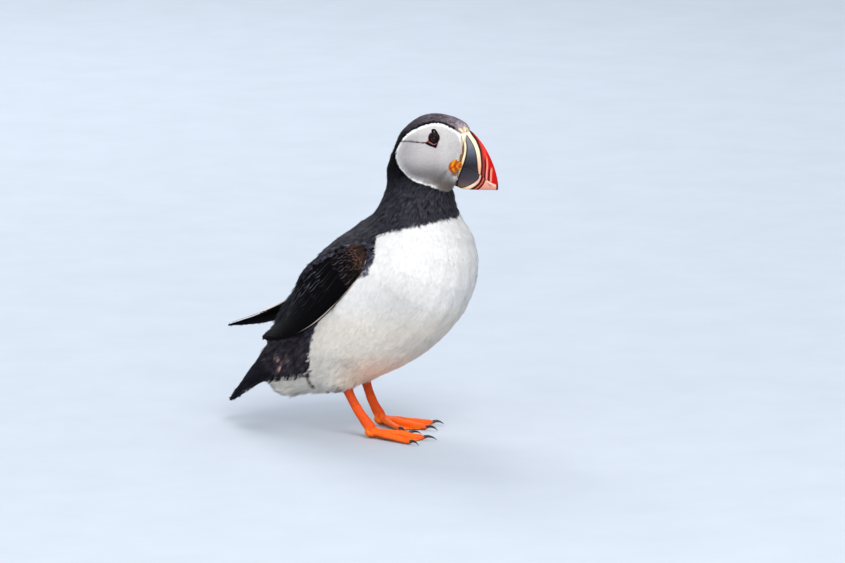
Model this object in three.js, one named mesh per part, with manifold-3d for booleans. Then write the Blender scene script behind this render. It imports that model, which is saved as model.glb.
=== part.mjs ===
// An Atlantic puffin, life size, standing at rest with its head turned a little to its left.
//
// Frame: millimetres, +Z up, the floor at Z = 0, the bird facing -Y with its left side towards +X.
// Every length below is given as forward, left and up, and at() turns those into the frame's X, Y and Z.
// The flesh is modelled whole (trunk, neck and head) and parted with thin cuts. Wings, tail, legs, feet,
// claws, bill, gape rosettes and eyes are pieces of their own that stop a hair short of what they meet.

import * as THREE from "three";
import { mergeVertices } from "three/addons/utils/BufferGeometryUtils.js";
import Module from "manifold-3d";

const wasm = await Module();
wasm.setup();

// ---------------------------------------------------------------- driving dimensions (mm)

const GAP = 0.3; // clearance between pieces that touch
const REACH = 160; // wider than any piece, for the boards that cut right through

// How square each cross-section is: 2 is an ellipse, more is fuller.
const FULLNESS = { body: 2.15, head: 2.25, bill: 2.3, tail: 2.2, wing: 2 };

// Facets around and along each lofted or rounded piece.
const FACETS = {
  body: [22, 20],
  head: [22, 14],
  bill: [20, 11],
  wing: [14, 14],
  tail: [16, 10],
  leg: [10, 9],
  toe: [8, 8],
  claw: [6, 6],
  thigh: [16, 10],
  cushion: [12, 8],
  pad: [10, 8],
  ball: [12, 8],
};
const MOUTH_STEPS = 12;
const WEB_STEPS = 5;

const HEAD_YAW = THREE.MathUtils.degToRad(22); // the head looks this far to the bird's left
const HEAD_CENTRE = { forward: 20.4, left: 0, up: 202 };

// Trunk and neck along the body's own axis, from rump to throat. back and belly are the reach from the
// axis to the spine side and to the breast side, side is the half width.
const BODY = [
  { name: "tail root", forward: -96, up: 39, back: 7, belly: 26, side: 12 },
  { name: "rump", forward: -84, up: 49, back: 21.5, belly: 30.5, side: 21 },
  { name: "vent", forward: -67, up: 59, back: 36.5, belly: 37, side: 31 },
  { name: "loins", forward: -43, up: 71, back: 49.5, belly: 40.8, side: 41.5 },
  { name: "belly", forward: -16, up: 91, back: 54, belly: 47.5, side: 48 },
  { name: "shoulders", forward: 5, up: 115, back: 50.5, belly: 49.5, side: 49 },
  { name: "breast", forward: 15, up: 139, back: 42, belly: 42, side: 40 },
  { name: "collar", forward: 17, up: 160, back: 31.5, belly: 23, side: 27.5 },
  { name: "throat", forward: 17, up: 176, back: 25, belly: 21.5, side: 21.5 },
  { name: "skull", forward: 19, up: 193, back: 20.5, belly: 18, side: 17 },
];
const THIGH = { forward: -40, left: 19, up: 46.5, length: 19, width: 14, height: 17, lean: 0.5 };
const VENT = { forward: -86, up: 31, length: 13, width: 10, height: 11.5 }; // loose feathers under the tail
const RUMP = { forward: -93, up: 48, length: 13, width: 12, height: 9.5 }; // long coverts over the tail

// The head along its own axis, from the nape to the forehead's point over the bill. top and bottom are
// heights over the head's centre, side is the half width.
const HEAD = [
  { name: "nape", forward: -26.2, top: -3, bottom: -16, side: 5 },
  { name: "hind crown", forward: -22.4, top: 7, bottom: -22, side: 12.5 },
  { name: "ear", forward: -14, top: 17.2, bottom: -27, side: 17.6 },
  { name: "cheek", forward: -5, top: 23.6, bottom: -28.4, side: 20.3 },
  { name: "crown", forward: 4, top: 25.8, bottom: -28.8, side: 20.4 },
  { name: "brow", forward: 13, top: 25, bottom: -28.4, side: 17.4 },
  { name: "face", forward: 19, top: 22.9, bottom: -26.6, side: 12.8 },
  { name: "bill edge", forward: 24, top: 19.8, bottom: -21, side: 8.6 },
  { name: "forehead", forward: 28, top: 14.4, bottom: 2, side: 3.4 },
];
const CROWN_TAPER = 0.16; // how much narrower the crown is than the cheeks

// The bill in the head's frame: culmen from forehead to tip, and the lower edge from chin to tip.
const CULMEN = [
  [17, 15.4],
  [29, 13.9],
  [37.2, 5.9],
  [43, -3.6],
  [47, -13.4],
  [49.2, -22.5],
  [49.5, -27.6],
];
const GONYS = [
  [13.5, -23],
  [20.5, -25.8],
  [25, -27.6],
  [33, -28.2],
  [41, -28.3],
  [46.5, -28.4],
  [48.6, -28.5],
];
const TOMIUM = [
  [8, -10.6],
  [22.4, -11.4],
  [30.8, -12.9],
  [36, -16.4],
  [41, -20.4],
  [46, -23.4],
  [53, -25.6],
];
const BILL_HALF_WIDTH = { base: 8.2, tip: 1.5 };
const CULMEN_TAPER = 0.42; // how much narrower the culmen is than the bill's flanks

const EYE = { forward: 4.7, side: 15.1, up: 10.4, radius: 4.4 };
const GAPE = { forward: 19, side: 10.8, up: -9.7, length: 4.9, height: 4.5, depth: 2.6, turn: 0.5 };

// Each folded wing from wrist to tip: the blade's centre line, its half breadth from leading to
// trailing edge, its half thickness, and how far its face is rolled from facing straight sideways to
// facing up. Lefts are given for the side the wing is on.
const WING_RIGHT = [
  { name: "wrist", forward: -9, left: 42, up: 136.5, breadth: 4.5, thick: 4, roll: 0.3 },
  { name: "hand", forward: -18.2, left: 43.5, up: 129, breadth: 13.5, thick: 6, roll: 0.3 },
  { name: "forearm", forward: -37.6, left: 43.5, up: 112.4, breadth: 18.4, thick: 6, roll: 0.36 },
  { name: "secondaries", forward: -59.5, left: 33.5, up: 92.4, breadth: 20.8, thick: 5, roll: 0.65 },
  { name: "wing end", forward: -79, left: 18, up: 74.5, breadth: 20, thick: 3.6, roll: 1.05 },
  { name: "primaries", forward: -94.5, left: 4, up: 65.9, breadth: 9.2, thick: 1.8, roll: 1.2 },
  { name: "tip", forward: -107.5, left: -8, up: 58, breadth: 1.2, thick: 0.7, roll: 1.25 },
];
const WING_LEFT = [
  { name: "wrist", forward: -9, left: 42, up: 136.5, breadth: 4.5, thick: 4, roll: 0.3 },
  { name: "hand", forward: -18.2, left: 43.5, up: 129, breadth: 13.5, thick: 6, roll: 0.3 },
  { name: "forearm", forward: -37.6, left: 43.5, up: 112.4, breadth: 18.4, thick: 6, roll: 0.36 },
  { name: "secondaries", forward: -61, left: 32, up: 97, breadth: 19.5, thick: 5, roll: 0.62 },
  { name: "wing end", forward: -85, left: 17.5, up: 82, breadth: 13, thick: 3.2, roll: 0.95 },
  { name: "primaries", forward: -109.5, left: 9, up: 72.6, breadth: 7.6, thick: 1.6, roll: 1 },
  { name: "tip", forward: -132.5, left: 4, up: 67, breadth: 1, thick: 0.7, roll: 0.9 },
];

// The tail, a wedge of short feathers and their coverts under the wing tips.
const TAIL = [
  { name: "root", forward: -74, up: 53, side: 16, thick: 14 },
  { name: "coverts", forward: -94, up: 43.5, side: 18.5, thick: 11.5 },
  { name: "middle", forward: -107.3, up: 34.6, side: 19.5, thick: 6.2 },
  { name: "fan", forward: -116, up: 25.8, side: 17, thick: 3.1 },
  { name: "end", forward: -123.6, up: 18.6, side: 11.5, thick: 1.6 },
  { name: "tip", forward: -128.4, up: 14.6, side: 4.5, thick: 0.8 },
];

// Legs and feet. The ankle is where the leg leaves the feathers, the knuckle is where the toes begin.
const LEG = { left: 20, up: 33, upper: 4.4, middle: 3.2, lower: 3.9, flat: 0.78 };
const KNUCKLE = { left: 23, up: 4.4 };
const STANCE = { left: { ankle: -34.5, knuckle: -23 }, right: { ankle: -31.5, knuckle: -11 } }; // forward
const TURN_IN = THREE.MathUtils.degToRad(9); // each foot points this far towards the other
const TOES = [
  { name: "inner", length: 28, spread: 31, root: 2.8, end: 1.9, claw: 7.6 },
  { name: "middle", length: 38, spread: 0, root: 3.2, end: 2.1, claw: 7.8 },
  { name: "outer", length: 37, spread: -30, root: 3, end: 2, claw: 6.6 },
];
const HEEL = { back: 1.6, drop: 0.4, length: 6, width: 4.6, height: 4.4 }; // the pad under the knuckle
const WEB = { thick: 0.9, reach: 0.94, hollow: 0.12 }; // height, reach along the toes, hollow of its edge
const CLAW = { root: 1.45, tip: 0.32 }; // half thicknesses

// ---------------------------------------------------------------- colours

const finish = (color, roughness, metalness = 0) =>
  new THREE.MeshStandardMaterial({ color, roughness, metalness });
const BLACK_FEATHER = finish(0x17161a, 0.7);
const WHITE_FEATHER = finish(0xf0efec, 0.85);
const FACE_FEATHER = finish(0xc9c9cc, 0.85);
const BILL_HORN = finish(0xc23a20, 0.4);
const BILL_SLATE = finish(0x4f5763, 0.4);
const ROSETTE_SKIN = finish(0xe79a1c, 0.5);
const LEG_SKIN = finish(0xe2560f, 0.5);
const CLAW_HORN = finish(0x1c1a1a, 0.4);
const EYE_GLOSS = finish(0x15100f, 0.1);

// ---------------------------------------------------------------- geometry helpers

const at = (forward, left, up) => new THREE.Vector3(left, -forward, up);
const FORWARD = at(1, 0, 0);
const LEFT = at(0, 1, 0);
const UP = at(0, 0, 1);

/** A three.js geometry as a manifold-3d solid, with its faces turned out. */
function solid(geometry) {
  const bare = new THREE.BufferGeometry();
  bare.setAttribute("position", geometry.getAttribute("position"));
  bare.setIndex(geometry.index);
  const merged = mergeVertices(bare, 1e-4);
  const triangles = [];
  const index = merged.index.array;
  for (let i = 0; i < index.length; i += 3) {
    const [a, b, c] = [index[i], index[i + 1], index[i + 2]];
    if (a !== b && b !== c && c !== a) triangles.push(a, b, c);
  }
  const build = (order) =>
    new wasm.Manifold(
      new wasm.Mesh({
        numProp: 3,
        vertProperties: merged.attributes.position.array,
        triVerts: new Uint32Array(order),
      }),
    );
  const made = build(triangles);
  return made.volume() > 0 ? made : build(triangles.reverse());
}

const FULL_TURN = 2 * Math.PI;

/** A closed skin: ring(t, angle) is a point on the surface, and each end is closed at its ring's middle. */
function loft([around, steps], ring) {
  const geometry = new THREE.CylinderGeometry(1, 1, 1, around, steps);
  const place = geometry.getAttribute("position");
  const middle = (t) => {
    const sum = new THREE.Vector3();
    for (let i = 0; i < around; i++) sum.add(ring(t, (i / around) * FULL_TURN));
    return sum.divideScalar(around);
  };
  for (let i = 0; i < place.count; i++) {
    const t = THREE.MathUtils.clamp(place.getY(i) + 0.5, 0, 1);
    const reach = Math.hypot(place.getX(i), place.getZ(i));
    const angle = Math.atan2(place.getX(i), place.getZ(i));
    const p = reach > 0.5 ? ring(t, (angle + FULL_TURN) % FULL_TURN) : middle(t);
    place.setXYZ(i, p.x, p.y, p.z);
  }
  return solid(geometry);
}

/** A smooth value per name along a list of stations, as t goes from 0 to 1. */
function along(stations, ...names) {
  const curves = [];
  for (let i = 0; i < names.length; i += 3) {
    const points = stations.map((s) => new THREE.Vector3(...[0, 1, 2].map((k) => s[names[i + k]] ?? 0)));
    curves.push(new THREE.CatmullRomCurve3(points, false, "centripetal"));
  }
  return (t) => {
    const found = {};
    curves.forEach((curve, i) => {
      const p = curve.getPoint(t);
      [p.x, p.y, p.z].forEach((value, k) => (found[names[3 * i + k]] = value));
    });
    return found;
  };
}

/** The direction of travel of a smooth station value at t. */
function heading(value, t, side = 1) {
  const step = 0.02;
  const before = value(Math.max(t - step, 0));
  const after = value(Math.min(t + step, 1));
  const left = side * ((after.left ?? 0) - (before.left ?? 0));
  return at(after.forward - before.forward, left, after.up - before.up).normalize();
}

/** Cosine and sine of an angle pushed towards a square by a power over 2. */
function squared(angle, power) {
  const push = (value) => Math.sign(value) * Math.abs(value) ** (2 / power);
  return [push(Math.cos(angle)), push(Math.sin(angle))];
}

/** A thin or thick board, as wide and deep as given, its middle and the way its face points given too. */
function board(width, depth, thick, centre, facing) {
  const geometry = new THREE.BoxGeometry(width, depth, thick);
  geometry.applyQuaternion(new THREE.Quaternion().setFromUnitVectors(UP, facing.clone().normalize()));
  geometry.translate(centre.x, centre.y, centre.z);
  return solid(geometry);
}

/** An ellipsoid on a piece's own axes. */
function ellipsoid([around, high], radii, centre, turn = new THREE.Quaternion()) {
  const geometry = new THREE.SphereGeometry(1, around, high);
  geometry.scale(radii.x, radii.y, radii.z);
  geometry.applyQuaternion(turn);
  geometry.translate(centre.x, centre.y, centre.z);
  return solid(geometry);
}

/** The largest loose pieces of a solid, from the lowest to the highest. */
function upwards(piece, count) {
  const height = (part) => part.boundingBox().min[2] + part.boundingBox().max[2];
  return piece
    .decompose()
    .sort((a, b) => b.volume() - a.volume())
    .slice(0, count)
    .sort((a, b) => height(a) - height(b));
}

// ---------------------------------------------------------------- head frame

const HEAD_TURN = new THREE.Quaternion().setFromAxisAngle(UP, HEAD_YAW);
const HEAD_AT = at(HEAD_CENTRE.forward, HEAD_CENTRE.left, HEAD_CENTRE.up);
const onHead = (forward, left, up) => at(forward, left, up).applyQuaternion(HEAD_TURN).add(HEAD_AT);

// ---------------------------------------------------------------- flesh

/** Trunk and neck as one loft, grown outwards by grow. */
function bodyLoft(grow = 0) {
  const value = along(BODY, "forward", "up", "side", "back", "belly");
  return loft(FACETS.body, (t, angle) => {
    const here = value(t);
    const belly = new THREE.Vector3().crossVectors(LEFT, heading(value, t)); // out of the breast side
    const [c, s] = squared(angle, FULLNESS.body);
    const depth = (s > 0 ? here.belly : here.back) + grow;
    return at(here.forward, 0, here.up)
      .addScaledVector(LEFT, c * (here.side + grow))
      .addScaledVector(belly, s * depth);
  });
}

/** The feathered thigh above each leg. */
function thigh(side, grow = 0) {
  const lean = new THREE.Quaternion().setFromAxisAngle(LEFT, THIGH.lean);
  const radii = new THREE.Vector3(THIGH.width + grow, THIGH.length + grow, THIGH.height + grow);
  return ellipsoid(FACETS.thigh, radii, at(THIGH.forward, side * THIGH.left, THIGH.up), lean);
}

/** A cushion of loose feathers on the bird's middle. */
function cushion(place, grow = 0) {
  const radii = new THREE.Vector3(place.width + grow, place.length + grow, place.height + grow);
  return ellipsoid(FACETS.cushion, radii, at(place.forward, 0, place.up));
}

const trunkSolid = (grow = 0) =>
  bodyLoft(grow).add(thigh(1, grow)).add(thigh(-1, grow)).add(cushion(VENT, grow));

/** The skull with its feathers. */
function headLoft(grow = 0) {
  const value = along(HEAD, "forward", "top", "bottom", "side");
  return loft(FACETS.head, (t, angle) => {
    const here = value(t);
    const [c, s] = squared(angle, FULLNESS.head);
    const middle = (here.top + here.bottom) / 2;
    const half = (here.top - here.bottom) / 2 + grow;
    const narrow = 1 - CROWN_TAPER * Math.max(s, 0) ** 2;
    return onHead(here.forward, c * (here.side + grow) * narrow, middle + s * half);
  });
}

// ---------------------------------------------------------------- bill

const plane = (points) => new THREE.SplineCurve(points.map(([f, u]) => new THREE.Vector2(f, u)));

/** Both halves of the bill as one wedge, its rings running from culmen to lower edge. */
function billLoft(grow = 0) {
  const culmen = plane(CULMEN);
  const gonys = plane(GONYS);
  return loft(FACETS.bill, (t, angle) => {
    const top = culmen.getPoint(t);
    const foot = gonys.getPoint(t);
    const [c, s] = squared(angle, FULLNESS.bill);
    const half = THREE.MathUtils.lerp(BILL_HALF_WIDTH.base, BILL_HALF_WIDTH.tip, t) + grow;
    const ridge = 1 - CULMEN_TAPER * Math.max(s, 0);
    const stretch = 1 + (2 * grow) / top.distanceTo(foot);
    const p = top.clone().add(foot).multiplyScalar(0.5).addScaledVector(top.sub(foot), (s * stretch) / 2);
    return onHead(p.x + grow * t, c * half * ridge, p.y);
  });
}

/** The thin curved sheet where the bill's halves meet. */
function mouthCut() {
  const line = plane(TOMIUM).getPoints(MOUTH_STEPS);
  const upper = line.map((p) => new THREE.Vector2(p.x, p.y + GAP / 2));
  const lower = line.map((p) => new THREE.Vector2(p.x, p.y - GAP / 2)).reverse();
  const geometry = new THREE.ExtrudeGeometry(new THREE.Shape([...upper, ...lower]), {
    depth: REACH,
    bevelEnabled: false,
  });
  const place = geometry.getAttribute("position");
  for (let i = 0; i < place.count; i++) {
    const p = onHead(place.getX(i), place.getZ(i) - REACH / 2, place.getY(i));
    place.setXYZ(i, p.x, p.y, p.z);
  }
  return solid(geometry);
}

// ---------------------------------------------------------------- eyes and gape

const eyeball = (side, grow = 0) =>
  ellipsoid(
    FACETS.ball,
    new THREE.Vector3(1, 1, 1).multiplyScalar(EYE.radius + grow),
    onHead(EYE.forward, side * EYE.side, EYE.up),
    HEAD_TURN,
  );

const rosette = (side, grow = 0) =>
  ellipsoid(
    FACETS.ball,
    new THREE.Vector3(GAPE.depth + grow, GAPE.length + grow, GAPE.height + grow),
    onHead(GAPE.forward, side * GAPE.side, GAPE.up),
    HEAD_TURN.clone().multiply(new THREE.Quaternion().setFromAxisAngle(UP, side * GAPE.turn)),
  );

// ---------------------------------------------------------------- wings and tail

/** A folded wing: a lens-shaped blade along its own line, its leading edge down and forward. */
function wing(stations, side, grow = 0) {
  const value = along(stations, "forward", "left", "up", "breadth", "thick", "roll");
  return loft(FACETS.wing, (t, angle) => {
    const here = value(t);
    const run = heading(value, t, side);
    const outward = at(0, side * Math.cos(here.roll), Math.sin(here.roll));
    const across = new THREE.Vector3().crossVectors(run, outward).normalize();
    const face = new THREE.Vector3().crossVectors(across, run);
    const [c, s] = squared(angle, FULLNESS.wing);
    return at(here.forward, side * here.left, here.up)
      .addScaledVector(across, c * (here.breadth + grow))
      .addScaledVector(face, s * (here.thick + grow));
  });
}

/** The tail's wedge. */
function tailLoft(grow = 0) {
  const value = along(TAIL, "forward", "up", "side", "thick");
  const [root, tip] = [TAIL[0], TAIL[TAIL.length - 1]];
  const slope = at(tip.forward - root.forward, 0, tip.up - root.up).normalize();
  const face = new THREE.Vector3().crossVectors(slope, LEFT);
  return loft(FACETS.tail, (t, angle) => {
    const here = value(t);
    const [c, s] = squared(angle, FULLNESS.tail);
    return at(here.forward, 0, here.up)
      .addScaledVector(LEFT, c * (here.side + grow))
      .addScaledVector(face, s * (here.thick + grow));
  });
}

// ---------------------------------------------------------------- legs and feet

const stanceOf = (side) => (side > 0 ? STANCE.left : STANCE.right);

/** Where the toes of one foot begin. */
const knuckleAt = (side) => at(stanceOf(side).knuckle, side * KNUCKLE.left, KNUCKLE.up);

/** The scaled leg from inside the thigh down to the knuckle of the toes. */
function leg(side, grow = 0) {
  const ankle = at(stanceOf(side).ankle, side * LEG.left, LEG.up);
  const inside = ankle.clone().add(at(-2, 0, 12));
  const knuckle = knuckleAt(side).add(at(-1.4, 0, 1.8));
  const shin = knuckle.clone().lerp(ankle, 0.5).add(at(-1, 0, -1));
  const line = new THREE.CatmullRomCurve3([inside, ankle, shin, knuckle]);
  return loft(FACETS.leg, (t, angle) => {
    const run = line.getTangent(t);
    const across = new THREE.Vector3().crossVectors(run, FORWARD).normalize();
    const front = new THREE.Vector3().crossVectors(across, run);
    const waist = THREE.MathUtils.smoothstep(t, 0.15, 0.5);
    const ball = THREE.MathUtils.smoothstep(t, 0.72, 1);
    const shank = THREE.MathUtils.lerp(LEG.upper, LEG.middle, waist);
    const reach = THREE.MathUtils.lerp(shank, LEG.lower, ball) + grow;
    return line
      .getPoint(t)
      .addScaledVector(across, Math.cos(angle) * reach * LEG.flat)
      .addScaledVector(front, Math.sin(angle) * reach);
  });
}

/** Where a toe starts, the way it points, and where it ends, for one side. */
function toeLine(side, kind) {
  const yaw = -side * (TURN_IN + THREE.MathUtils.degToRad(kind.spread));
  const way = at(Math.cos(yaw), Math.sin(yaw), 0);
  const start = knuckleAt(side);
  const end = start.clone().addScaledVector(way, kind.length).setZ(kind.end * 0.82);
  const middle = start.clone().lerp(end, 0.5).setZ(kind.root);
  return { way, start, end, curve: new THREE.CatmullRomCurve3([start, middle, end]) };
}

/** One toe, thicker at each of its joints and rounded off at its end. */
function toe(side, kind, grow = 0) {
  const { curve, way } = toeLine(side, kind);
  const across = new THREE.Vector3().crossVectors(UP, way);
  return loft(FACETS.toe, (t, angle) => {
    const joint = 1 + 0.1 * Math.cos(t * 3 * FULL_TURN) * (1 - t);
    const blunt = 1 - 0.6 * THREE.MathUtils.smoothstep(t, 0.9, 1);
    const reach = THREE.MathUtils.lerp(kind.root, kind.end, t) * joint * blunt + grow;
    return curve
      .getPoint(t)
      .addScaledVector(across, Math.cos(angle) * reach)
      .addScaledVector(UP, Math.sin(angle) * reach * 0.9);
  });
}

/** The web between two neighbouring toes, a thin plate with a hollowed front edge. */
function web(side, first, second, grow = 0) {
  const a = toeLine(side, first);
  const b = toeLine(side, second);
  const p = a.curve.getPoint(WEB.reach);
  const q = b.curve.getPoint(WEB.reach);
  const hollow = p.clone().add(q).multiplyScalar(0.5).lerp(a.start, WEB.hollow);
  const shape = new THREE.Shape();
  shape.moveTo(a.start.x, a.start.y);
  shape.lineTo(p.x, p.y);
  shape.quadraticCurveTo(hollow.x, hollow.y, q.x, q.y);
  shape.closePath();
  const geometry = new THREE.ExtrudeGeometry(shape, {
    depth: WEB.thick + 2 * grow,
    bevelEnabled: false,
    curveSegments: WEB_STEPS,
  });
  geometry.translate(0, 0, -grow);
  return solid(geometry);
}

/** Toes, heel pad and webs in one piece, flat where they stand on the floor. */
function foot(side, grow = 0) {
  const heel = knuckleAt(side).add(at(-HEEL.back, 0, -HEEL.drop));
  const pad = new THREE.Vector3(HEEL.width + grow, HEEL.length + grow, HEEL.height + grow);
  let made = ellipsoid(FACETS.pad, pad, heel);
  for (const kind of TOES) made = made.add(toe(side, kind, grow));
  return made.add(web(side, TOES[0], TOES[1], grow)).add(web(side, TOES[1], TOES[2], grow));
}

/** A curved claw at a toe's end. */
function claw(side, kind) {
  const { way, end } = toeLine(side, kind);
  const across = new THREE.Vector3().crossVectors(UP, way);
  const reach = (far, high) => end.clone().addScaledVector(way, far * kind.claw).setZ(high);
  const bend = [reach(-0.16, 2.1), reach(0.25, 2.6), reach(0.7, 2), reach(1, 0.55)];
  const line = new THREE.CatmullRomCurve3(bend);
  return loft(FACETS.claw, (t, angle) => {
    const thick = THREE.MathUtils.lerp(CLAW.root, CLAW.tip, t);
    return line
      .getPoint(t)
      .addScaledVector(across, Math.cos(angle) * thick * 0.8)
      .addScaledVector(UP, Math.sin(angle) * thick);
  });
}

// ---------------------------------------------------------------- assembly

const FLOOR = board(2 * REACH, 2 * REACH, REACH, at(0, 0, -REACH / 2), UP);
const group = new THREE.Group();

/** Adds a solid to the group as a named mesh. */
function add(name, piece, material) {
  const { numProp, numVert, vertProperties, triVerts } = upwards(piece, 1)[0].getMesh();
  const place = new Float32Array(numVert * 3);
  for (let i = 0; i < numVert; i++) {
    place.set(vertProperties.subarray(i * numProp, i * numProp + 3), i * 3);
  }
  const geometry = new THREE.BufferGeometry();
  geometry.setAttribute("position", new THREE.BufferAttribute(place, 3));
  geometry.setIndex(new THREE.BufferAttribute(triVerts, 1));
  geometry.computeVertexNormals();
  const mesh = new THREE.Mesh(geometry, material);
  mesh.name = name;
  group.add(mesh);
}

// Head, neck and trunk: one body, hollowed for bill, eyes and rosettes, then parted by two thin cuts.
const HEAD_CUT = { centre: at(17, 0, 171.4), facing: at(0, 0, 1) };
const NECK_CUT = { centre: at(17, 0, 148), facing: at(-0.25, 0, 0.97) };
let flesh = trunkSolid().add(headLoft()).subtract(billLoft(GAP));
for (const side of [1, -1]) flesh = flesh.subtract(eyeball(side, GAP)).subtract(rosette(side, GAP));
flesh = flesh
  .subtract(board(REACH, REACH, GAP, HEAD_CUT.centre, HEAD_CUT.facing))
  .subtract(board(REACH, REACH, GAP, NECK_CUT.centre, NECK_CUT.facing));
const [trunk, neck, head] = upwards(flesh, 3);
add("trunk", trunk, WHITE_FEATHER);
add("neck", neck, BLACK_FEATHER);
add("head", head, FACE_FEATHER);

const [lower, upper] = upwards(billLoft().subtract(mouthCut()), 2);
add("bill_lower", lower, BILL_SLATE);
add("bill_upper", upper, BILL_HORN);

const grownTrunk = trunkSolid(GAP);
const tailSolid = (grow = 0) => tailLoft(grow).add(cushion(RUMP, grow));
const grownTail = tailSolid(GAP);
const wingRight = wing(WING_RIGHT, -1).subtract(grownTrunk).subtract(grownTail);
const wingLeft = wing(WING_LEFT, 1).subtract(grownTrunk).subtract(grownTail);
add("tail", tailSolid().subtract(grownTrunk), BLACK_FEATHER);
add("wing_right", wingRight, BLACK_FEATHER);
add("wing_left", wingLeft.subtract(wing(WING_RIGHT, -1, GAP)), BLACK_FEATHER);

for (const [word, side] of [
  ["left", 1],
  ["right", -1],
]) {
  add(`eye_${word}`, eyeball(side).subtract(billLoft(GAP)), EYE_GLOSS);
  add(`gape_${word}`, rosette(side).subtract(billLoft(GAP)), ROSETTE_SKIN);
  add(`leg_${word}`, leg(side).subtract(grownTrunk).subtract(FLOOR), LEG_SKIN);
  add(`foot_${word}`, foot(side).subtract(leg(side, GAP)).subtract(FLOOR), LEG_SKIN);
  const grownFoot = foot(side, GAP);
  for (const kind of TOES) {
    add(`claw_${word}_${kind.name}`, claw(side, kind).subtract(grownFoot).subtract(FLOOR), CLAW_HORN);
  }
}

// The frame's origin is the middle of the bird's box on the floor.
const box = new THREE.Box3().setFromObject(group);
const shift = box.getCenter(new THREE.Vector3()).setZ(box.min.z).negate();
group.children.forEach((mesh) => mesh.geometry.translate(shift.x, shift.y, shift.z));

export default group;
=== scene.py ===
"""An Atlantic puffin, life size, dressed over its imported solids.

One skin stands in for the flesh. Tufts and vanes of solid mesh lie over it, and the bill, eyes, gape
rosettes, legs, feet and claws are pieces of their own. Lengths are in millimetres until a mesh is made.
Places are forward, left and up from an anchor that the frame gives, or from the head's own centre.
"""

import logging
import math
from collections.abc import Callable, Sequence
from dataclasses import dataclass, field
from enum import IntEnum

import bmesh
import bpy
import numpy as np
from mathutils import Matrix, Vector
from mathutils.bvhtree import BVHTree


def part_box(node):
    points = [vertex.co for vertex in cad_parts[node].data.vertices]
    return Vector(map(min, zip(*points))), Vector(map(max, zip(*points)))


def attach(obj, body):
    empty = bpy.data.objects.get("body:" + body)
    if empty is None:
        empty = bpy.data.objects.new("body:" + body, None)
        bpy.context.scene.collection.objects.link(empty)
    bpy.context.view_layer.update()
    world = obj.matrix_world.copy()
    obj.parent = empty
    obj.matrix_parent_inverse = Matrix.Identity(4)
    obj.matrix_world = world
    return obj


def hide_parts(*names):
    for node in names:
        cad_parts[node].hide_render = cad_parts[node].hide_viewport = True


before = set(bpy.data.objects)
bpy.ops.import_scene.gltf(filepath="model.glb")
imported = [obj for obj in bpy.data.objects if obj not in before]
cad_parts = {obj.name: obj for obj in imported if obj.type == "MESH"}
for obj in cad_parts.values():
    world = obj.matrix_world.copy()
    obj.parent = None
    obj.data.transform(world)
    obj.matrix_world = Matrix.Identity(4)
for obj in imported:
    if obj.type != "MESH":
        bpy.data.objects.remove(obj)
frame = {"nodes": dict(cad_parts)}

Array = np.ndarray
Pair = tuple[float, float]
Spot = tuple[float, float, float]
Lines = Sequence[tuple[float, ...]]
Lay = Callable[[Array, Array, Array], tuple[Array, Array]]
Surface = Callable[[Array, Array, Array, int], tuple[Array, Array]]
Material = bpy.types.Material
Mesh = bpy.types.Mesh
Piece = bpy.types.Object
Socket = bpy.types.NodeSocket

LOG = logging.getLogger("puffin")
MM = 0.001
SEED = 4127
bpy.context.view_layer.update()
FLESH_NODES = ("head", "neck", "trunk", "tail", "wing_left", "wing_right")
TRIANGLES_A_PIECE = 190_000
BARB_TRIANGLES = 3
WELD = 0.01  # millimetres; vertices nearer than this are one
TINY = 1e-12  # keeps a division by a length from failing
SIDES = (("left", 1), ("right", -1))


# ------------------------------------------------------------------------------- numbers and shapes


def srgb(red: float, green: float, blue: float) -> Array:
    """A screen colour, each channel 0 to 255, as linear light."""
    share = np.array([red, green, blue]) / 255
    return np.where(share <= 0.04045, share / 12.92, ((share + 0.055) / 1.055) ** 2.4)


def ease(value: Array, low: float, high: float) -> Array:
    """0 below low, 1 above high, and a smooth step between them."""
    share = np.clip((np.asarray(value, float) - low) / (high - low), 0, 1)
    return share * share * (3 - 2 * share)


def mix(first: Array, second: Array, share: Array) -> Array:
    """first where share is 0 and second where it is 1; share may be one value a row."""
    share = np.asarray(share, float)
    if share.ndim:
        share = share[..., None]
    return first + (np.asarray(second) - first) * share


def unit(rows: Array) -> Array:
    """Each row at length 1."""
    return rows / np.maximum(np.linalg.norm(rows, axis=-1, keepdims=True), TINY)


def hump(value: Array, middle: float, half: float) -> Array:
    """1 at the middle, falling smoothly to 0 at half to either side."""
    return 1 - ease(np.abs(value - middle), 0, half)


def steps(value: Array, stops: Sequence[tuple[float, Array]]) -> Array:
    """Colours read off (place, colour) stops, straight between them."""
    places = [place for place, _ in stops]
    table = np.array([np.atleast_1d(found) for _, found in stops], float)
    return np.stack([np.interp(value, places, table[:, i]) for i in range(table.shape[1])], -1)


def ramp(value: Array, stops: Lines) -> Array:
    """Heights or shares read off (place, height) stops, straight between them."""
    return np.interp(value, *np.array(stops, float).T)


def circle(count: int) -> Array:
    """Angles spaced evenly round a whole turn."""
    return np.linspace(0, 2 * math.pi, count, endpoint=False)


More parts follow.
